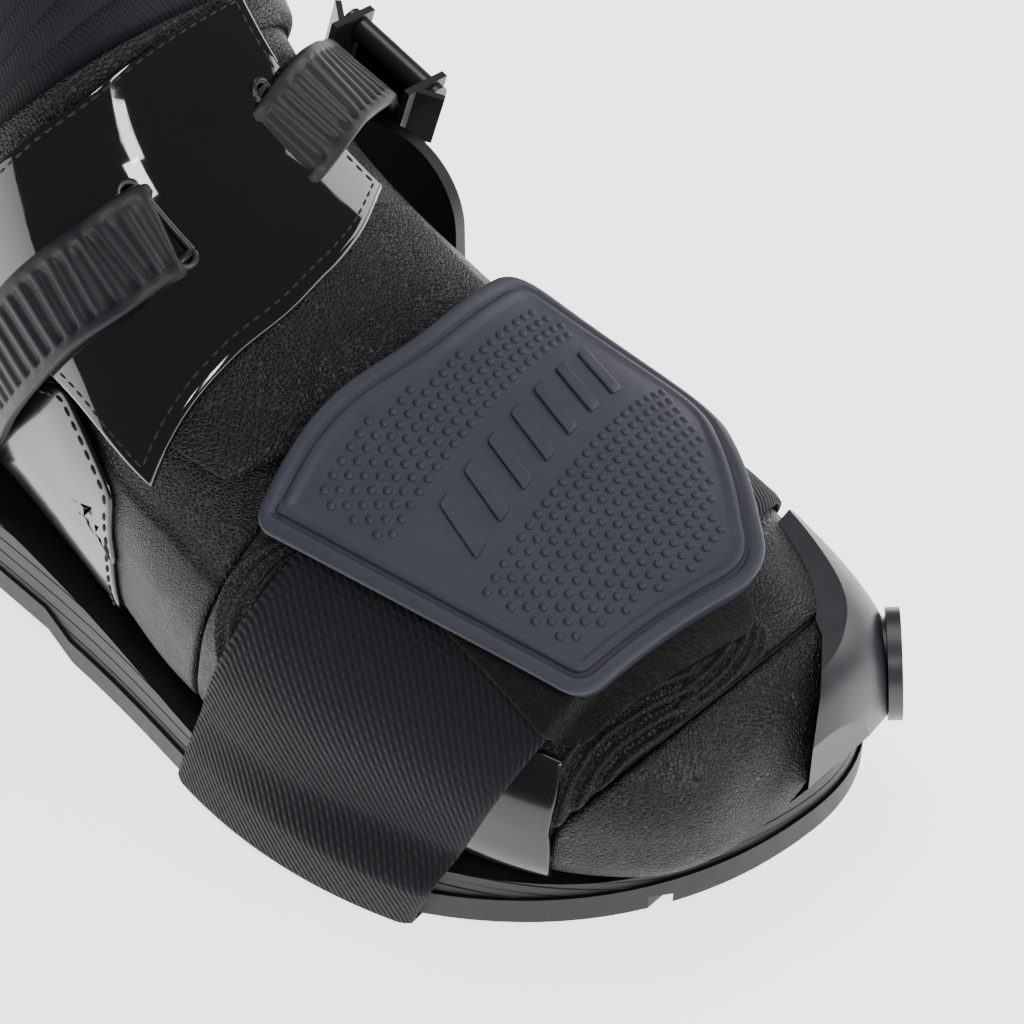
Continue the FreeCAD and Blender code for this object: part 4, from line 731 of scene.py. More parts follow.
# raised rounds of the vamp: four ridges ahead of the pad and four behind it
ridgeSet = {
    "inner": [(2.62, 92), (2.12, 82), (1.8, 92), (1.76, 108), (2.02, 126), (2.22, 143), (2.28, 160),
              (2.32, 180), (2.4, 202)],
    "rear": [(4.2, 112), (4.75, 126), (5.1, 142), (5.25, 160), (5.25, 178), (5.2, 196), (5.1, 214)],
    "count": 4, "spacing": 0.125, "height": 1.25, "width": 1.2,
}
sGrid, aGrid = ringGrid(toeSeam + sole["seamGap"], vampSeam - sole["seamGap"], around, 230)
base = surf(sGrid, aGrid)
relief = np.zeros(sGrid.shape)
share = np.linspace(0, 1, 110)
for number in range(ridgeSet["count"]):
    for part, sign in (("inner", 1), ("rear", -1)):
        s, a = onForm(ridgeSet[part], share)
        shift = number * ridgeSet["spacing"] * sign
        line = surf(s + shift, a - shift * 0.55 * sign * (a > 2.0))
        gap = nearest(base, line)
        relief = np.maximum(relief, ridgeSet["height"] * ridge(gap, ridgeSet["width"]))
vampLeather = sheetPiece("vampLeather", sGrid, aGrid, sole["leatherLow"], relief, finishes["leather"],
                         roundOff=1.4)
rides(vampLeather, "foot", "leather", "vamp")

# throat, quarters and heel: one skin with its overlapping edges pressed in, and the heel's back as a second
rearFoot = {"throatLine": [(-46, 60), (-30, 66), (60, 86), (90, 92)],
            "heelLine": [(86, 0), (100, 60), (92, 220)], "step": 0.9, "soften": 0.7}
footRim = stationWhere(seams["footRim"], around, 4.0)
sGrid, aGrid = ringGrid(vampSeam + sole["seamGap"], footRim - sole["rimGap"], around, 190)
points = surf(sGrid, aGrid)
throatSide = sideTest(rearFoot["throatLine"], False)(points)
heelSide = sideTest(rearFoot["heelLine"], True)(points)
relief = -rearFoot["step"] / (1 + np.exp(-throatSide / rearFoot["soften"] * 2))
relief = relief + 0.5 * rearFoot["step"] / (1 + np.exp(-heelSide / rearFoot["soften"] * 2))
quarterLeather = sheetPiece("quarterLeather", sGrid, aGrid, sole["leatherLow"] - 0.1, np.minimum(relief, 0.1),
                            finishes["leather"], roundOff=1.2)
rides(quarterLeather, "foot", "leather", "throat", "inner_quarter", "outer_quarter")
heelAround = np.linspace(sole["innerAngle"] - 2 * math.pi - 0.02, sole["outerAngle"] + 0.02, 120)
heelRim = stationWhere(seams["footRim"], heelAround, 9.5)
sGrid, aGrid = ringGrid(np.full(len(heelAround), 10.06), heelRim - sole["rimGap"], heelAround, 110)
heelLeather = sheetPiece("heelLeather", sGrid, aGrid, sole["leatherLow"], 0.15, finishes["leather"],
                         roundOff=1.0)
rides(heelLeather, "foot", "leather", "heel_leather")
print("foot leather made")

# Overlays of the inner side

overlays = {
    "innerGlossPanel": {"outline": [(-14, 66), (6, 82), (44, 70), (56, 46), (58, 27), (0, 22), (-8, 30)],
                        "guess": (7.0, 185 * deg), "finish": "gloss", "node": "inner_gloss_panel",
                        "out": 1.35, "slot": "smooth_leather", "corner": 4},
    "innerMeshPanel": {"outline": [(46, 70), (74, 74), (84, 50), (79, 29), (59.4, 28), (57.2, 46.5)],
                       "guess": (8.8, 190 * deg), "finish": "mesh", "node": "inner_mesh_panel", "out": 0.95,
                       "slot": "textile", "corner": 3},
}
plateEdge = np.array([0.0, 0.25, 0.6, 1.2, 2.2, 3.4])
for name, panel in overlays.items():
    outline = roundedOutline(panel["outline"], panel["corner"], 220)
    rings = insetRings(outline, plateEdge, [0.85, 0.65, 0.45, 0.25, 0.1, 0.0])
    rise = panel["out"] - 0.2
    heights = np.append(0.2 + rise * np.array([0.45, 0.75, 0.93, 1, 1, 0.98]), np.full(6, panel["out"]))
    piece = platePiece(name, rings, heights, 0.1, [1, 2], panel["guess"], finishes[panel["finish"]])
    rides(piece, "foot", panel["slot"], panel["node"])
    inset = insetRings(outline, [2.4], [])[0]
    s, a = locate(np.vstack([inset, inset[:1]]), [1, 2], *panel["guess"])
    stitches(name + "Stitches", s, a, panel["out"] + 0.05, finishes["thread"])
forefoot = {"front": [(2.66, 147), (2.62, 165), (2.7, 185), (2.8, 208)],
            "rear": [(3.5, 147), (3.55, 165), (3.65, 185), (3.75, 208)],
            "side": [(2.66, 147), (3.1, 146), (3.5, 147)], "low": [(2.8, 208), (3.3, 208), (3.75, 208)]}
sGrid, aGrid = patchGrid(forefoot["front"], forefoot["rear"], forefoot["side"], forefoot["low"], 60, 120)
forefootPanel = sheetPiece("forefootPanel", sGrid, aGrid, 0.12, 1.2, finishes["gloss"], roundOff=0.9)
rides(forefootPanel, "foot", "smooth_leather", "forefoot_side_panel")
print("side panels made")


def cloth(piece):
    # Returns the piece unchanged.
    return piece


# Elastic band, felt and shift pad

band = {"lean": -0.409, "skew": 0.136, "front": -91.9, "rear": -23.95, "columns": 54, "low": 1.6, "high": 3.2,
        "sideGap": 0.6, "ground": 0.3, "flatWidth": 62.4}
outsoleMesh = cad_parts["outsole"].data
soleRim = np.zeros(len(outsoleMesh.vertices) * 3)
outsoleMesh.vertices.foreach_get("co", soleRim)
soleRim = soleRim.reshape(-1, 3) * 1000
soleRim = soleRim[soleRim[:, 2] < 24]


def placeAcross(points):
    # Place across the band, from its front edge to its rear, of points in the band's slanting planes.
    return points[..., 1] - band["skew"] * points[..., 0] - band["lean"] * points[..., 2]


def bandLoop(start, out):
    # One loop of the band in a slanting plane: over the form, down both sides of the sole and flat under it.
    plane = placeAcross(soleRim)
    centres = np.arange(band["front"] - 4, band["rear"] + 5, 4.0)
    near = [soleRim[np.abs(plane - c) < 5.0, 0] for c in centres]
    outerEdge = np.polyval(np.polyfit(centres, [x.max() for x in near], 2), start)
    innerEdge = np.polyval(np.polyfit(centres, [x.min() for x in near], 2), start)
    a = np.linspace(-9, 189, 170) * deg
    over = surf(stationWhere(lambda p: placeAcross(p) - start, a, 1.0, 9.0, 900, out), a, out)
    thick = out - band["low"]
    side = band["sideGap"] + thick
    ground = band["ground"] + band["high"] - out
    drop = np.linspace(0, 1, 16)[1:]
    blend = drop * drop * (3 - 2 * drop)
    bend, straightTo = 2.6, 14

    def down(point, edge, sign):
        # One side: an eased fall to the sole's edge, then a quarter circle under it.
        z = point[2] + (straightTo - point[2]) * drop
        x = point[0] + (edge + sign * side - point[0]) * blend
        corner = np.linspace(0, math.pi / 2, 8)
        x = np.concatenate([x, edge + sign * (side - bend * (1 - np.cos(corner)))])
        z = np.concatenate([z, ground + bend - bend * np.sin(corner)])
        return np.stack([x, z], 1)

    outerDown, innerDown = down(over[0], outerEdge, 1), down(over[-1], innerEdge, -1)
    under = np.linspace(outerDown[-1], innerDown[-1], 40)[1:-1]
    flat = np.concatenate([over[:, [0, 2]], innerDown, under[::-1], outerDown[::-1]])
    y = start + band["skew"] * flat[:, 0] + band["lean"] * flat[:, 1]
    return np.stack([flat[:, 0], y, flat[:, 1]], 1)


starts = np.linspace(band["front"], band["rear"], band["columns"])
edgeShare = np.minimum(np.arange(band["columns"]), np.arange(band["columns"])[::-1])
roll = 0.55 * (1 - np.clip(edgeShare / 1.5, 0, 1))
outside = np.stack([bandLoop(c, band["high"] - r) for c, r in zip(starts, roll)], 1)
inside = np.stack([bandLoop(c, band["low"]) for c in starts], 1)
rows, columns = outside.shape[:2]
u = gridLengths(outside)[0]
v = np.broadcast_to(np.linspace(0, band["flatWidth"], columns), u.shape)
i, j = np.meshgrid(np.arange(rows), np.arange(columns - 1), indexing="ij")
i, j = i.ravel(), j.ravel()
i2 = (i + 1) % rows
quadOut = np.stack([i * columns + j, i * columns + j + 1, i2 * columns + j + 1, i2 * columns + j], 1)
quadIn = quadOut[:, ::-1] + rows * columns
k = np.arange(rows)
k2 = (k + 1) % rows
wallA = np.stack([k * columns, k2 * columns, k2 * columns + rows * columns, k * columns + rows * columns], 1)
last = columns - 1
wallB = np.stack([k2 * columns + last, k * columns + last, k * columns + last + rows * columns,
                  k2 * columns + last + rows * columns], 1)
flatUv = np.stack([u, v], -1).reshape(-1, 2) / 1000
elasticBand = makePiece("elasticBand", np.concatenate([outside.reshape(-1, 3), inside.reshape(-1, 3)]),
                        np.concatenate([quadOut, quadIn, wallA, wallB]), np.concatenate([flatUv, flatUv]),
                        finishes["knit"])
rides(elasticBand, "foot", "knit", "elastic_band")
cloth(elasticBand)


def onBand(points):
    # 1 over the band, falling smoothly to 0 just outside its two edges.
    at = placeAcross(points)
    t = np.clip((np.minimum(at - band["front"], band["rear"] - at) + 2.0) / 3.0, 0, 1)
    return t * t * (3 - 2 * t)


overFoot = ([0, 1], (4.0, 90 * deg))
felt = {"outline": [(-30, -50), (30, -34), (44, -84), (18, -130), (-30, -122)], "corner": 6, "thick": 1.1}
rings = insetRings(roundedOutline(felt["outline"], felt["corner"], 260), [0.0, 0.25, 0.7, 1.4],
                   list(np.linspace(0.96, 0, 36)))
s, a = locate(rings, overFoot[0], *overFoot[1])
carried = 3.3 * onBand(surf(s, a, 2.0))
fluff = 0.12 * np.sin(rings[..., 0] * 7.3 + np.sin(rings[..., 1] * 5.1)) * np.sin(rings[..., 1] * 6.1)
edge = np.array([0.45, 0.8, 0.95, 1.0] + [1.0] * 36)[:, None]
padFelt = platePiece("padFelt", rings, carried + 0.1 + felt["thick"] * edge + fluff, carried + 0.08,
                     *overFoot, finishes["felt"])
rides(padFelt, "foot", "textile", "pad_felt")
cloth(padFelt)

shiftPad = {
    "outline": [(-41, -52), (-20, -46.6), (3, -47.6), (20, -44.5), (38, -40), (47, -62), (53, -84),
                (40, -104), (22, -124), (-21, -119)],
    "corner": [4, 12, 10, 10, 8, 14, 9, 14, 9, 5],
    "profile": [(0.0, 7.7), (0.15, 8.2), (0.5, 8.55), (1.0, 8.7), (2.3, 8.7), (2.6, 8.5), (2.75, 7.5),
                (3.5, 7.5), (3.65, 8.2), (3.95, 8.4), (4.9, 8.4), (5.3, 8.25), (5.7, 7.85), (6.4, 7.8)],
    "field": 7.8, "low": 4.45, "studPitch": 2.95, "studSize": (0.62, 1.02, 1.02), "bandFrom": (-29, -85),
    "bandTo": (47, -66), "bandHalf": 9.5,
    "bars": {"count": 7, "halfHeight": 5.6, "width": 3.2, "lean": 2.4, "pitch": 8.2, "rise": 0.75},
}
outline = roundedOutline(shiftPad["outline"], shiftPad["corner"], 420)
profile = np.array(shiftPad["profile"])
rings = insetRings(outline, profile[:, 0], list(np.linspace(0.94, 0, 22)))
heights = np.concatenate([profile[:, 1], np.full(22, shiftPad["field"])])
padRubber = platePiece("shiftPad", rings, heights, shiftPad["low"], *overFoot, finishes["padRubber"])
rides(padRubber, "foot", "rubber", "shift_pad")
bandStart, bandEnd = np.array(shiftPad["bandFrom"], float), np.array(shiftPad["bandTo"], float)
alongBand = (bandEnd - bandStart) / np.linalg.norm(bandEnd - bandStart)
acrossBand = np.array([-alongBand[1], alongBand[0]])
bandMiddle = bandStart + (bandEnd - bandStart) / 2


def insideOutline(points, line, margin):
    # Crossing test against the closed line, and at least margin away from its points.
    x, y = points[:, :1], points[:, 1:]
    nextLine = np.roll(line, -1, 0)
    crosses = (line[:, 1] > y) != (nextLine[:, 1] > y)
    share = (y - line[:, 1]) / (nextLine[:, 1] - line[:, 1] + 1e-12)
    reach = line[:, 0] + share * (nextLine[:, 0] - line[:, 0])
    within = (crosses & (x < reach)).sum(1) % 2 == 1
    gap = np.sqrt(((points[:, None] - line[None]) ** 2).sum(-1)).min(1)
    return within & (gap > margin)


pitch = shiftPad["studPitch"]
gx, gy = np.meshgrid(np.arange(-40, 40), np.arange(-46, 46))
rowStep = 0.8660
spots = np.stack([(gx + 0.5 * (gy % 2)) * pitch, gy * pitch * rowStep], -1).reshape(-1, 2)
spots = bandMiddle + spots[:, :1] * alongBand + spots[:, 1:] * acrossBand
offBand = np.abs((spots - bandStart) @ acrossBand) > shiftPad["bandHalf"]
spots = spots[insideOutline(spots, outline, 7.6) & offBand]
s, a = locate(spots, overFoot[0], *overFoot[1])
centres = surf(s, a, shiftPad["field"] - 0.05)
sideways = surf(s, a + 0.01, shiftPad["field"]) - centres
studs = beads("padStuds", centres, outward(s, a, shiftPad["field"]), sideways,
              shiftPad["studSize"], finishes["padRubber"], around=8, rings=6)
rides(studs, "foot", "rubber")
bars = shiftPad["bars"]
for number in range(bars["count"]):
    middle = bandMiddle + alongBand * (number - (bars["count"] - 1) / 2) * bars["pitch"]
    half, tall, lean = bars["width"] / 2, bars["halfHeight"], bars["lean"]
    corners = [middle + alongBand * x + acrossBand * y for x, y in
               ((-half - lean, -tall), (half - lean, -tall), (half + lean, tall), (-half + lean, tall))]
    rings = insetRings(roundedOutline(corners, 0.7, 72), [0.0, 0.12, 0.4], [0.7, 0.4, 0.0])
    top = shiftPad["field"] + bars["rise"]
    bar = platePiece("padBar" + str(number + 1), rings, [top - 0.3, top - 0.08, top, top, top, top],
                     shiftPad["field"] - 0.2, *overFoot, finishes["padRubber"])
    rides(bar, "foot", "rubber")
print("band and pad made", len(spots), "studs")

# Instep pads

pads = {
    "lowerInstepPad": {"front": [(-54, 86), (-38, 77), (-27, 80), (-15, 97)],
                       "rear": [(-15, 97), (-15, 110), (-22, 122)], "rearByHeight": True,
                       "from": 56, "to": 149, "columns": 150, "rows": 60, "high": 2.2, "round": 2.2,
                       "crown": 0.5, "search": 4.6, "notBefore": -52, "node": "lower_instep_pad", "fill": 0.6},
    "upperInstepPad": {"front": [(-12, 141), (10, 139), (28, 119), (38, 102)],
                       "rear": [(-4, 164), (14, 146), (34, 126), (47, 108)], "rearByHeight": False,
                       "from": 20, "to": 160, "columns": 220, "rows": 50, "high": 2.1, "round": 2.0,
                       "crown": 0.9, "search": 6.2, "notBefore": None, "node": "upper_instep_pad", "fill": 0.7},
}
for name, pad in pads.items():
    a = np.linspace(pad["from"], pad["to"], pad["columns"]) * deg
    front = stationWhere(sideTest(pad["front"], False), a, pad["search"])
    if pad["notBefore"] is not None:
        front = np.maximum(front, stationWhere(lambda p: p[..., 1] - pad["notBefore"], a, 4.0))
    rear = stationWhere(sideTest(pad["rear"], pad["rearByHeight"]), a, pad["search"])
    sGrid, aGrid = ringGrid(front, rear, a, pad["rows"])
    cushion = sheetPiece(name, sGrid, aGrid, 0.22, pad["high"], finishes["softLeather"],
                         roundOff=pad["round"], crown=pad["crown"])
    rides(cushion, "foot", "leather", pad["node"])

# Patent panel and strap

patent = {
    "front": [(6.32, 66), (5.98, 82), (5.8, 99), (5.82, 115), (5.86, 130), (5.9, 149.2)],
    "rear": [(8.09, 76), (7.98, 96), (8.04, 116.5), (8.36, 137), (8.64, 155.0), (8.83, 179.2)],
    "outerSide": [(6.32, 66), (7.2, 71.5), (8.09, 76)],
    "innerSide": [(5.9, 149.2), (6.6, 154), (7.26, 160.1), (7.95, 171), (8.5, 181.5), (8.83, 179.2)],
    "low": 3.5, "high": 4.9, "slots": [((7.17, 117), (6.5, 112)), ((7.22, 81.5), (6.62, 77.3))],
    "slotHalf": 1.9, "rimRadius": 0.75,
}
sGrid, aGrid = patchGrid(patent["front"], patent["rear"], patent["outerSide"], patent["innerSide"], 190, 250)
base = surf(sGrid, aGrid, patent["high"])
keep = np.ones((sGrid.shape[0] - 1, sGrid.shape[1] - 1), bool)
middles = quadMiddles(base)
slotLines = []
for first, second in patent["slots"]:
    slotLines.append((np.linspace(first[0], second[0], 60), np.linspace(first[1], second[1], 60) * deg))
    line = surf(*slotLines[-1], patent["high"])
    keep &= nearest(middles, line) > patent["slotHalf"]
patentPanel = sheetPiece("patentPanel", sGrid, aGrid, patent["low"], patent["high"], finishes["patent"],
                         keep=keep, roundOff=0.7)
rides(patentPanel, "foot", "patent", "patent_panel")
for number, (s, a) in enumerate(slotLines):
    line = surf(s, a, patent["high"])
    ahead = np.gradient(line, axis=0)
    ahead /= np.linalg.norm(ahead, axis=1, keepdims=True)
    up = outward(s, a, patent["high"])
    across = np.cross(up, ahead)
    reach = patent["slotHalf"] + 0.2
    turnRound = np.linspace(-math.pi / 2, math.pi / 2, 14)[:, None]
    ends = [reach * (ahead[k] * np.cos(turnRound) - across[k] * np.sin(turnRound)) for k in (0, -1)]
    path = np.concatenate([line - across * reach, line[-1] + ends[1], (line + across * reach)[::-1],
                           line[0] - ends[0]])
    ups = np.concatenate([up, np.repeat(up[-1:], 14, 0), up[::-1], np.repeat(up[:1], 14, 0)])
    gap = np.linalg.norm(np.diff(path, axis=0, append=path[:1]), axis=1)
    keepPoint = gap > 1e-3
    rim = tube("slotRim" + str(number + 1), path[keepPoint], ups[keepPoint], circle(patent["rimRadius"], 10),
               finishes["satin"], closed=True)
    rides(rim, "foot", "patent")
gap = int(sGrid.shape[0] * 0.035)
for name, s, a in (("patentFrontStitches", sGrid[gap, 6:-6], aGrid[gap, 6:-6]),
                   ("patentRearStitches", sGrid[-gap, 6:-6], aGrid[-gap, 6:-6]),
                   ("patentInnerStitches", sGrid[gap:-gap, -8], aGrid[gap:-gap, -8]),
                   ("patentOuterStitches", sGrid[gap:-gap, 7], aGrid[gap:-gap, 7])):
    stitches(name, s, a, patent["high"] + 0.02, finishes["thread"], pitch=2.9, length=2.1, thick=0.3)

strap = {
    "path": [((-43.6, 58.5, 38.0), (-1, 0, 0)), ((-45.2, 50.0, 49.0), (-1, 0, -0.1)),
             ((-47.4, 40.0, 61.0), (-1, 0, -0.05)), ((-50.4, 29.0, 74.0), (-1, 0, 0.1)),
             ((-51.0, 17.5, 88.0), (-1, -0.15, 0.3)), ((-46.6, 6.6, 101.8), (-0.8, -0.3, 0.5)),
             ((-38.2, -1.6, 110.6), (-0.62, -0.5, 0.6)), ((-32.0, -3.4, 113.4), (-0.5, -0.58, 0.63)),
             ((-27.0, -4.3, 114.4), (-0.36, -0.64, 0.67)), ((-21.0, -4.4, 113.8), (-0.24, -0.69, 0.69)),
             ((-14.3, -4.3, 116.1), (-0.14, -0.72, 0.68)), ((-2.0, -4.3, 117.6), (0, -0.74, 0.67)),
             ((5.0, -4.3, 117.5), (0.02, -0.74, 0.67)), ((11.0, -4.3, 119.9), (0, -0.73, 0.69)),
             ((16.5, -3.6, 122.3), (0, -0.70, 0.73)),
             ((25.5, -0.4, 123.6), (0.03, -0.68, 0.74)), ((34.5, 4.6, 121.0), (0.15, -0.6, 0.78)),
             ((43.5, 10.6, 116.6), (0.4, -0.4, 0.8)), ((51.5, 17.4, 111.4), (0.62, -0.25, 0.7)),
             ((57.6, 22.4, 105.0), (0.86, -0.12, 0.42)),
             ((61.8, 25.4, 97.6), (1, 0, 0)), ((61.8, 32.3, 78.7), (1, 0, 0)),
             ((61.8, 38.4, 61.9), (1, 0, 0))],
    "halfWidth": 10.25, "halfThick": 1.5, "ribPitch": 4.6, "ribHeight": 0.8, "step": 0.46,
    "hidden": (-26.0, 11.0), "sink": 0.6,
}
knots = np.array([p for p, _ in strap["path"]])
ups = np.array([n for _, n in strap["path"]], float)
knotAt = lengthsAlong(knots)
count = int(knotAt[-1] / strap["step"])
share = np.linspace(0, 1, count)
path = curveThrough(knots, share)
up = np.stack([np.interp(share * knotAt[-1], knotAt, ups[:, k]) for k in range(3)], 1)
ribWave = np.clip(1.6 * np.sin(lengthsAlong(path) * 2 * math.pi / strap["ribPitch"]), -1, 1) * 0.5 + 0.5
hiddenFrom, hiddenTo = strap["hidden"]
covered = np.clip((path[:, 0] - hiddenFrom) / 2, 0, 1) * np.clip((hiddenTo - path[:, 0]) / 2, 0, 1)
ribWave = ribWave * (1 - covered)
path = path - up / np.linalg.norm(up, axis=1, keepdims=True) * (covered * strap["sink"])[:, None]
half, thick = strap["halfWidth"], strap["halfThick"]
fromEdge = half - np.array([0, 0.15, 0.5, 1.1, 2.3, 2.8, 3.3])
across = np.concatenate([-fromEdge, [-5, -2.5, 0, 2.5, 5], fromEdge[::-1]])
edgeDrop = [0.9, 0.35, 0.08, 0, 0, 0.35, 0.75]
topHeight = thick - np.array(edgeDrop + [0.75] * 5 + edgeDrop[::-1])
field = np.array([0.0] * 5 + [0.4] + [1.0] * 7 + [0.4] + [0.0] * 5)
top = topHeight[None] + field[None] * strap["ribHeight"] * ribWave[:, None]
bottom = np.array([[half, -0.6], [half - 0.4, -thick], [0, -thick], [-half + 0.4, -thick], [-half, -0.6]])
profile = np.zeros((count, len(across) + len(bottom), 2))
profile[:, :len(across), 0] = across
profile[:, :len(across), 1] = top
profile[:, len(across):] = bottom
ratchetStrap = tube("ratchetStrap", path, up, profile[:, ::-1], finishes["strapRubber"])
rides(ratchetStrap, "foot", "rubber", "ratchet_strap")
print("patent panel and strap made")

# Shaft

shaft = {"topHeight": 290.0, "collarLow": 290.6, "collarHigh": 301.6}


def topStation(a, height):
    # Station at which each angle of the shaft reaches the height.
    return stationWhere(lambda p: p[..., 2] - height, a, 12.0)


panels = {"shaftFront": (40.25, 139.75, "shaft_front", "leather", -2.0, 0.0),
          "innerShaft": (140.25, 212.2, "inner_shaft_side", "leather", -2.0, 0.0),
          "outerShaft": (-32.2, 39.75, "outer_shaft_side", "leather", -2.0, 0.0),
          "calfPanel": (212.8, 327.2, "calf_stretch_panel", "textile", -1.9, -0.4)}
zipSlot = {"from": 149.0, "to": 266.0, "edges": (64.9, 75.1)}
for name, (fromAngle, toAngle, node, finish, low, high) in panels.items():
    a = np.linspace(fromAngle, toAngle, 150) * deg
    bottomStation = stationWhere(seams["shaftRim"], a, 8.0)
    sGrid, aGrid = ringGrid(bottomStation + 0.02, topStation(a, shaft["topHeight"]), a, 130)
    keep = None
    if name == "innerShaft":
        middles = quadMiddles(surf(sGrid, aGrid, high))
        inSlot = ((middles[..., 1] > zipSlot["edges"][0]) & (middles[..., 1] < zipSlot["edges"][1])
                  & (middles[..., 2] > zipSlot["from"]) & (middles[..., 2] < zipSlot["to"]))
        keep = ~inSlot
    if finish == "textile":
        share = gradedShares(130)[:, None]
        high = high - 0.5 * np.abs(np.sin(share * math.pi * 16)) ** 0.5 * np.ones_like(sGrid) + 0.3
    piece = sheetPiece(name, sGrid, aGrid, low, high, finishes[finish], keep=keep, roundOff=0.8)
    rides(piece, "shaft", finish, node)
    if finish == "textile":
        cloth(piece)
for name, angle in (("frontOuterStitches", 43), ("frontInnerStitches", 137), ("sideOuterStitches", 37),
                    ("sideInnerStitches", 143), ("calfOuterStitches", -29.5), ("calfInnerStitches", 209.5)):
    a = np.full(240, angle * deg)
    low = float(stationWhere(seams["shaftRim"], a[:1], 8.0)[0]) + 0.15
    s = np.linspace(low, float(topStation(a[:1], 288.0)[0]), 240)
    stitches(name, s, a, 0.02, finishes["thread"], body="shaft")

# padded collar: an oval ring whose section is a rounded box, swelling between its seams
collar = {"angles": 240, "round": 26, "middle": -1.0, "half": 3.35}
a = np.arange(collar["angles"]) * 2 * math.pi / collar["angles"]
low, high = topStation(a, shaft["collarLow"]), topStation(a, shaft["collarHigh"])
turn = np.arange(collar["round"]) * 2 * math.pi / collar["round"]
share = 0.5 + 0.5 * signedPower(np.sin(turn), 0.7)[None]
ripple = 1 - 0.05 * np.abs(np.sin(a * 18))[:, None]
swell = collar["middle"] + collar["half"] * signedPower(np.cos(turn), 0.7)[None] * ripple
points = surf(low[:, None] + (high - low)[:, None] * share, a[:, None], swell)
i, j = np.meshgrid(np.arange(collar["angles"]), np.arange(collar["round"]), indexing="ij")
i, j = i.ravel(), j.ravel()
i2, j2 = (i + 1) % collar["angles"], (j + 1) % collar["round"]
ring = collar["round"]
girth = np.stack(np.broadcast_arrays(a[:, None] * 0.055, turn[None] * 0.004), -1).reshape(-1, 2)
paddedCollar = makePiece("paddedCollar", points.reshape(-1, 3),
                         np.stack([i * ring + j, i2 * ring + j, i2 * ring + j2, i * ring + j2], 1), girth,
                         finishes["softLeather"])
rides(paddedCollar, "shaft", "leather", "padded_collar")

# linings and the foam behind them
whole = np.arange(220) * 2 * math.pi / 220
layers = {"footLining": (-1.0, "footRim", -4.6, -3.5, "lining", "foot", "foot_lining"),
          "footPadding": (2.0, "footRim", -3.35, -2.25, "foam", "foot", "foot_padding"),
          "shaftLining": ("shaftRim", 290.2, -4.6, -3.5, "lining", "shaft", "shaft_lining"),
          "shaftPadding": ("shaftRim", 290.0, -3.35, -2.25, "foam", "shaft", "shaft_padding")}
for name, (start, end, low, high, finish, body, node) in layers.items():
    if start == "shaftRim":
        first, final = stationWhere(seams["shaftRim"], whole, 8.0) + 0.03, topStation(whole, end)
    else:
        first = np.full(len(whole), float(start))
        final = stationWhere(seams["footRim"], whole, 4.0) - 0.03
    if name == "footPadding":
        final = np.minimum(final, np.where(np.sin(whole) < -0.5, 9.2, 17))
    sGrid, aGrid = ringGrid(first, final, whole, 90)
    piece = sheetPiece(name, sGrid, aGrid, low, high, finishes[finish], closed=True)
    mergeClose(piece)
    rides(piece, body, finish, node)
a = np.linspace(222, 318, 90) * deg
sGrid, aGrid = ringGrid(np.full(90, 0.5), np.full(90, 10.15), a, 120)
footbed = sheetPiece("footbedFoam", sGrid, aGrid, -8.2, -4.8, finishes["lining"])
rides(footbed, "foot", "foam", "footbed")

# soft bellows: between the two rims, gathered into rounded folds that die out towards the hinge
folds = {"frontBellows": (9, 171, 5, "front_bellows", (0, 0.0608, 0.0925), (0, 0.0752, 0.1035)),
         "rearBellows": (171, 369, 3, "rear_bellows", (0, 0.0698, 0.0944), (0, 0.0662, 0.1016))}
for name, (fromAngle, toAngle, count, node, start, end) in folds.items():
    a = np.linspace(fromAngle, toAngle, 260) * deg
    low, high = stationWhere(seams["footRim"], a, 7.0), stationWhere(seams["shaftRim"], a, 7.0)
    share = np.linspace(0, 1, 120)[:, None]
    sGrid = low[None] - 0.05 + (high - low + 0.1)[None] * share
    aGrid = np.broadcast_to(a[None], sGrid.shape)
    reach = np.clip((high - low) / 1.2, 0.15, 1)[None]
    lift = -1.55 + 1.25 * reach * np.abs(np.sin(share * math.pi * count)) ** 0.6
    piece = sheetPiece(name, sGrid, aGrid, -2.0, np.minimum(lift, -0.15), finishes["textile"])
    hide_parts(node)
    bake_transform(piece)
    cloth(piece)

# top flap, its loop patch, pull loop and zip
flap = {"outline": [(36, 268), (42, 262), (104, 262), (104, 287), (42, 287), (36, 281)], "high": 3.1,
        "low": 1.1}
flapEdge, patchEdge = [2.3, 2.8, 3.05, 3.1, 2.8, 3.1], [0.5, 0.75, 0.8]
rings = insetRings(roundedOutline(flap["outline"], 3, 200), [0, 0.2, 0.6, 1.4, 2.6, 3.6],
                   list(np.linspace(0.9, 0, 12)))
heights = np.append(flapEdge, np.full(12, flap["high"]))
topFlap = platePiece("topFlap", rings, heights, flap["low"], [1, 2], (15.5, 180 * deg),
                     finishes["softLeather"])
rides(topFlap, "flap", "leather", "top_flap")
rings = insetRings(roundedOutline([(34.5, 264.5), (57.5, 264.5), (57.5, 285.5), (34.5, 285.5)], 2, 120),
                   [0, 0.2, 0.6], list(np.linspace(0.9, 0, 10)))
patch = platePiece("flapLoopPatch", rings, np.append(patchEdge, np.full(10, 0.85)), 0.1, [1, 2],
                   (15.5, 175 * deg), finishes["felt"])
rides(patch, "shaft", "textile", "flap_loop_patch")
loop = {"low": 251.5, "high": 284.5, "inner": 138.6, "outer": 152.6, "half": 8.6, "thick": 0.7}
t = np.linspace(0, 1, 60)
pathY = loop["inner"] + (loop["outer"] - loop["inner"]) * np.sin(t * math.pi) ** 0.55
pathZ = loop["low"] + (loop["high"] - loop["low"]) * (0.5 - 0.5 * np.cos(t * math.pi))
path = np.stack([np.zeros(60), pathY, pathZ], 1)
ups = np.stack([np.zeros(60), np.cos((t - 0.5) * math.pi) + 0.05, np.sin((t - 0.5) * math.pi)], 1)
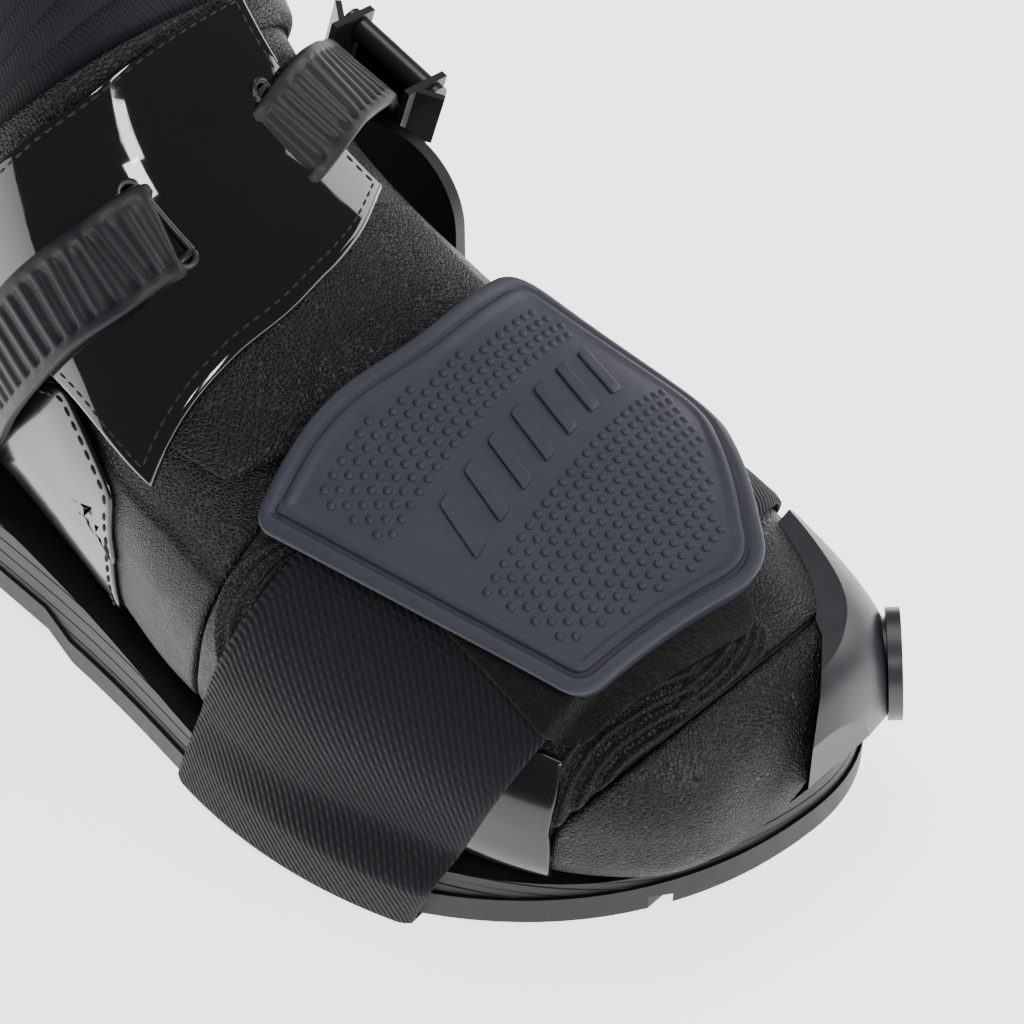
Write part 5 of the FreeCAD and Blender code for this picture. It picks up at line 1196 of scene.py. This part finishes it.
h, w = loop["thick"], loop["half"]
section = [(-w, -h * 0.4), (-w, h * 0.4), (-w + 0.6, h), (-3, h), (0, h), (3, h), (w - 0.6, h), (w, h * 0.4),
           (w, -h * 0.4), (w - 0.6, -h), (0, -h), (-w + 0.6, -h)]
pullLoop = tube("pullLoop", path, ups, np.array(section), finishes["textile"])
rides(pullLoop, "shaft", "textile", "pull_loop")
zipLine = {"origin": (-44.9, 70.0, 165.0), "tilt": 6.6, "low": 152.0, "high": 262.0}
z = np.arange(zipLine["low"], zipLine["high"], 1.9)
x = zipLine["origin"][0] - (z - zipLine["origin"][2]) * math.tan(zipLine["tilt"] * deg)
side = np.where(np.arange(len(z)) % 2 == 0, 0.75, -0.75)
centres = np.stack([x - 0.1, zipLine["origin"][1] + side, z], 1)
teeth = beads("zipTeeth", centres, np.tile([[0.0, 1.0, 0.0]], (len(z), 1)),
              np.tile([[-1.0, 0, 0]], (len(z), 1)), (1.3, 0.55, 0.7), finishes["blackSteel"])
rides(teeth, "shaft", "steel", "zip_teeth")
for name, low, high in (("zipTapeFront", 65.3, 69.7), ("zipTapeRear", 70.3, 74.7)):
    path = np.stack([np.linspace(x[0] + 0.5, x[-1] + 0.5, 50), np.full(50, (low + high) / 2),
                     np.linspace(z[0], z[-1], 50)], 1)
    h, w = 0.45, (high - low) / 2
    tape = tube(name, path, np.tile([[-1.0, 0, 0]], (50, 1)),
                np.array([(-w, -h), (-w, h), (0, h), (w, h), (w, -h), (0, -h)]), finishes["textile"])
    rides(tape, "shaft", "textile", *(["zip_tapes"] if name == "zipTapeFront" else []))
print("shaft made")

# Floor, light and camera

floorFinish = Finish("paperFloor", (0.86, 0.86, 0.87), 0.8)
floorFinish.shade(floorFinish.noise(3, 2), 0.99, 1.01)
floorFinish.shader.inputs["Emission Color"].default_value = (1.0, 1.0, 1.0, 1)
floorFinish.shader.inputs["Emission Strength"].default_value = 2.2
floorMesh = bpy.data.meshes.new("paperFloor")
floorMesh.from_pydata([(-6, -6, 0), (6, -6, 0), (6, 6, 0), (-6, 6, 0)], [], [(0, 1, 2, 3)])
floor = bpy.data.objects.new("paperFloor", floorMesh)
bpy.context.scene.collection.objects.link(floor)
floorMesh.materials.append(floorFinish.material)

world = bpy.data.worlds.new("studio")
world.use_nodes = True
world.node_tree.nodes["Background"].inputs[0].default_value = (0.93, 0.95, 1.0, 1)
world.node_tree.nodes["Background"].inputs[1].default_value = 0.16
bpy.context.scene.world = world


def softbox(name, direction, distance, width, height, power, aim=(0.0, -0.03, 0.08)):
    # An area light at the given direction and distance from the aim point, facing it.
    light = bpy.data.lights.new(name, "AREA")
    light.shape, light.size, light.size_y, light.energy = "RECTANGLE", width, height, power
    lamp = bpy.data.objects.new(name, light)
    bpy.context.scene.collection.objects.link(lamp)
    away = np.array(direction, float) / np.linalg.norm(direction)
    lamp.location = np.array(aim) + away * distance
    lamp.rotation_euler = Vector(away).to_track_quat("Z", "Y").to_euler()


softboxes = {
    "overheadBox": ((0.1, 0.25, 1.0), 1.6, 1.3, 1.0, 16),
    "leftWindow": ((-0.15, -0.75, 0.65), 1.2, 0.2, 0.26, 4),
    "middleWindow": ((-0.45, -0.57, 0.70), 1.2, 0.14, 0.14, 2.4),
    "lowWindow": ((-0.1, -0.88, 0.47), 1.2, 0.16, 0.3, 3),
    "rightBox": ((0.95, -0.25, 0.45), 1.5, 0.9, 0.7, 9),
    "backBox": ((0.2, 1.0, 0.55), 1.6, 1.0, 0.7, 8),
}
for name, (direction, distance, width, height, power) in softboxes.items():
    softbox(name, direction, distance, width, height, power)

camera = {"azimuth": -46.963, "elevation": 39.509, "distance": 0.518118,
          "target": (0.019128, -0.060181, 0.045), "lens": 82.87}
lens = bpy.data.cameras.new("mainCamera")
lens.lens, lens.sensor_width, lens.clip_start = camera["lens"], 36.0, 0.02
eye = bpy.data.objects.new("mainCamera", lens)
bpy.context.scene.collection.objects.link(eye)
turn, lift = camera["azimuth"] * deg, camera["elevation"] * deg
back = np.array([math.sin(turn) * math.cos(lift), -math.cos(turn) * math.cos(lift), math.sin(lift)])
eye.location = np.array(camera["target"]) + back * camera["distance"]
eye.rotation_euler = (math.pi / 2 - lift, 0, turn)
bpy.context.scene.camera = eye
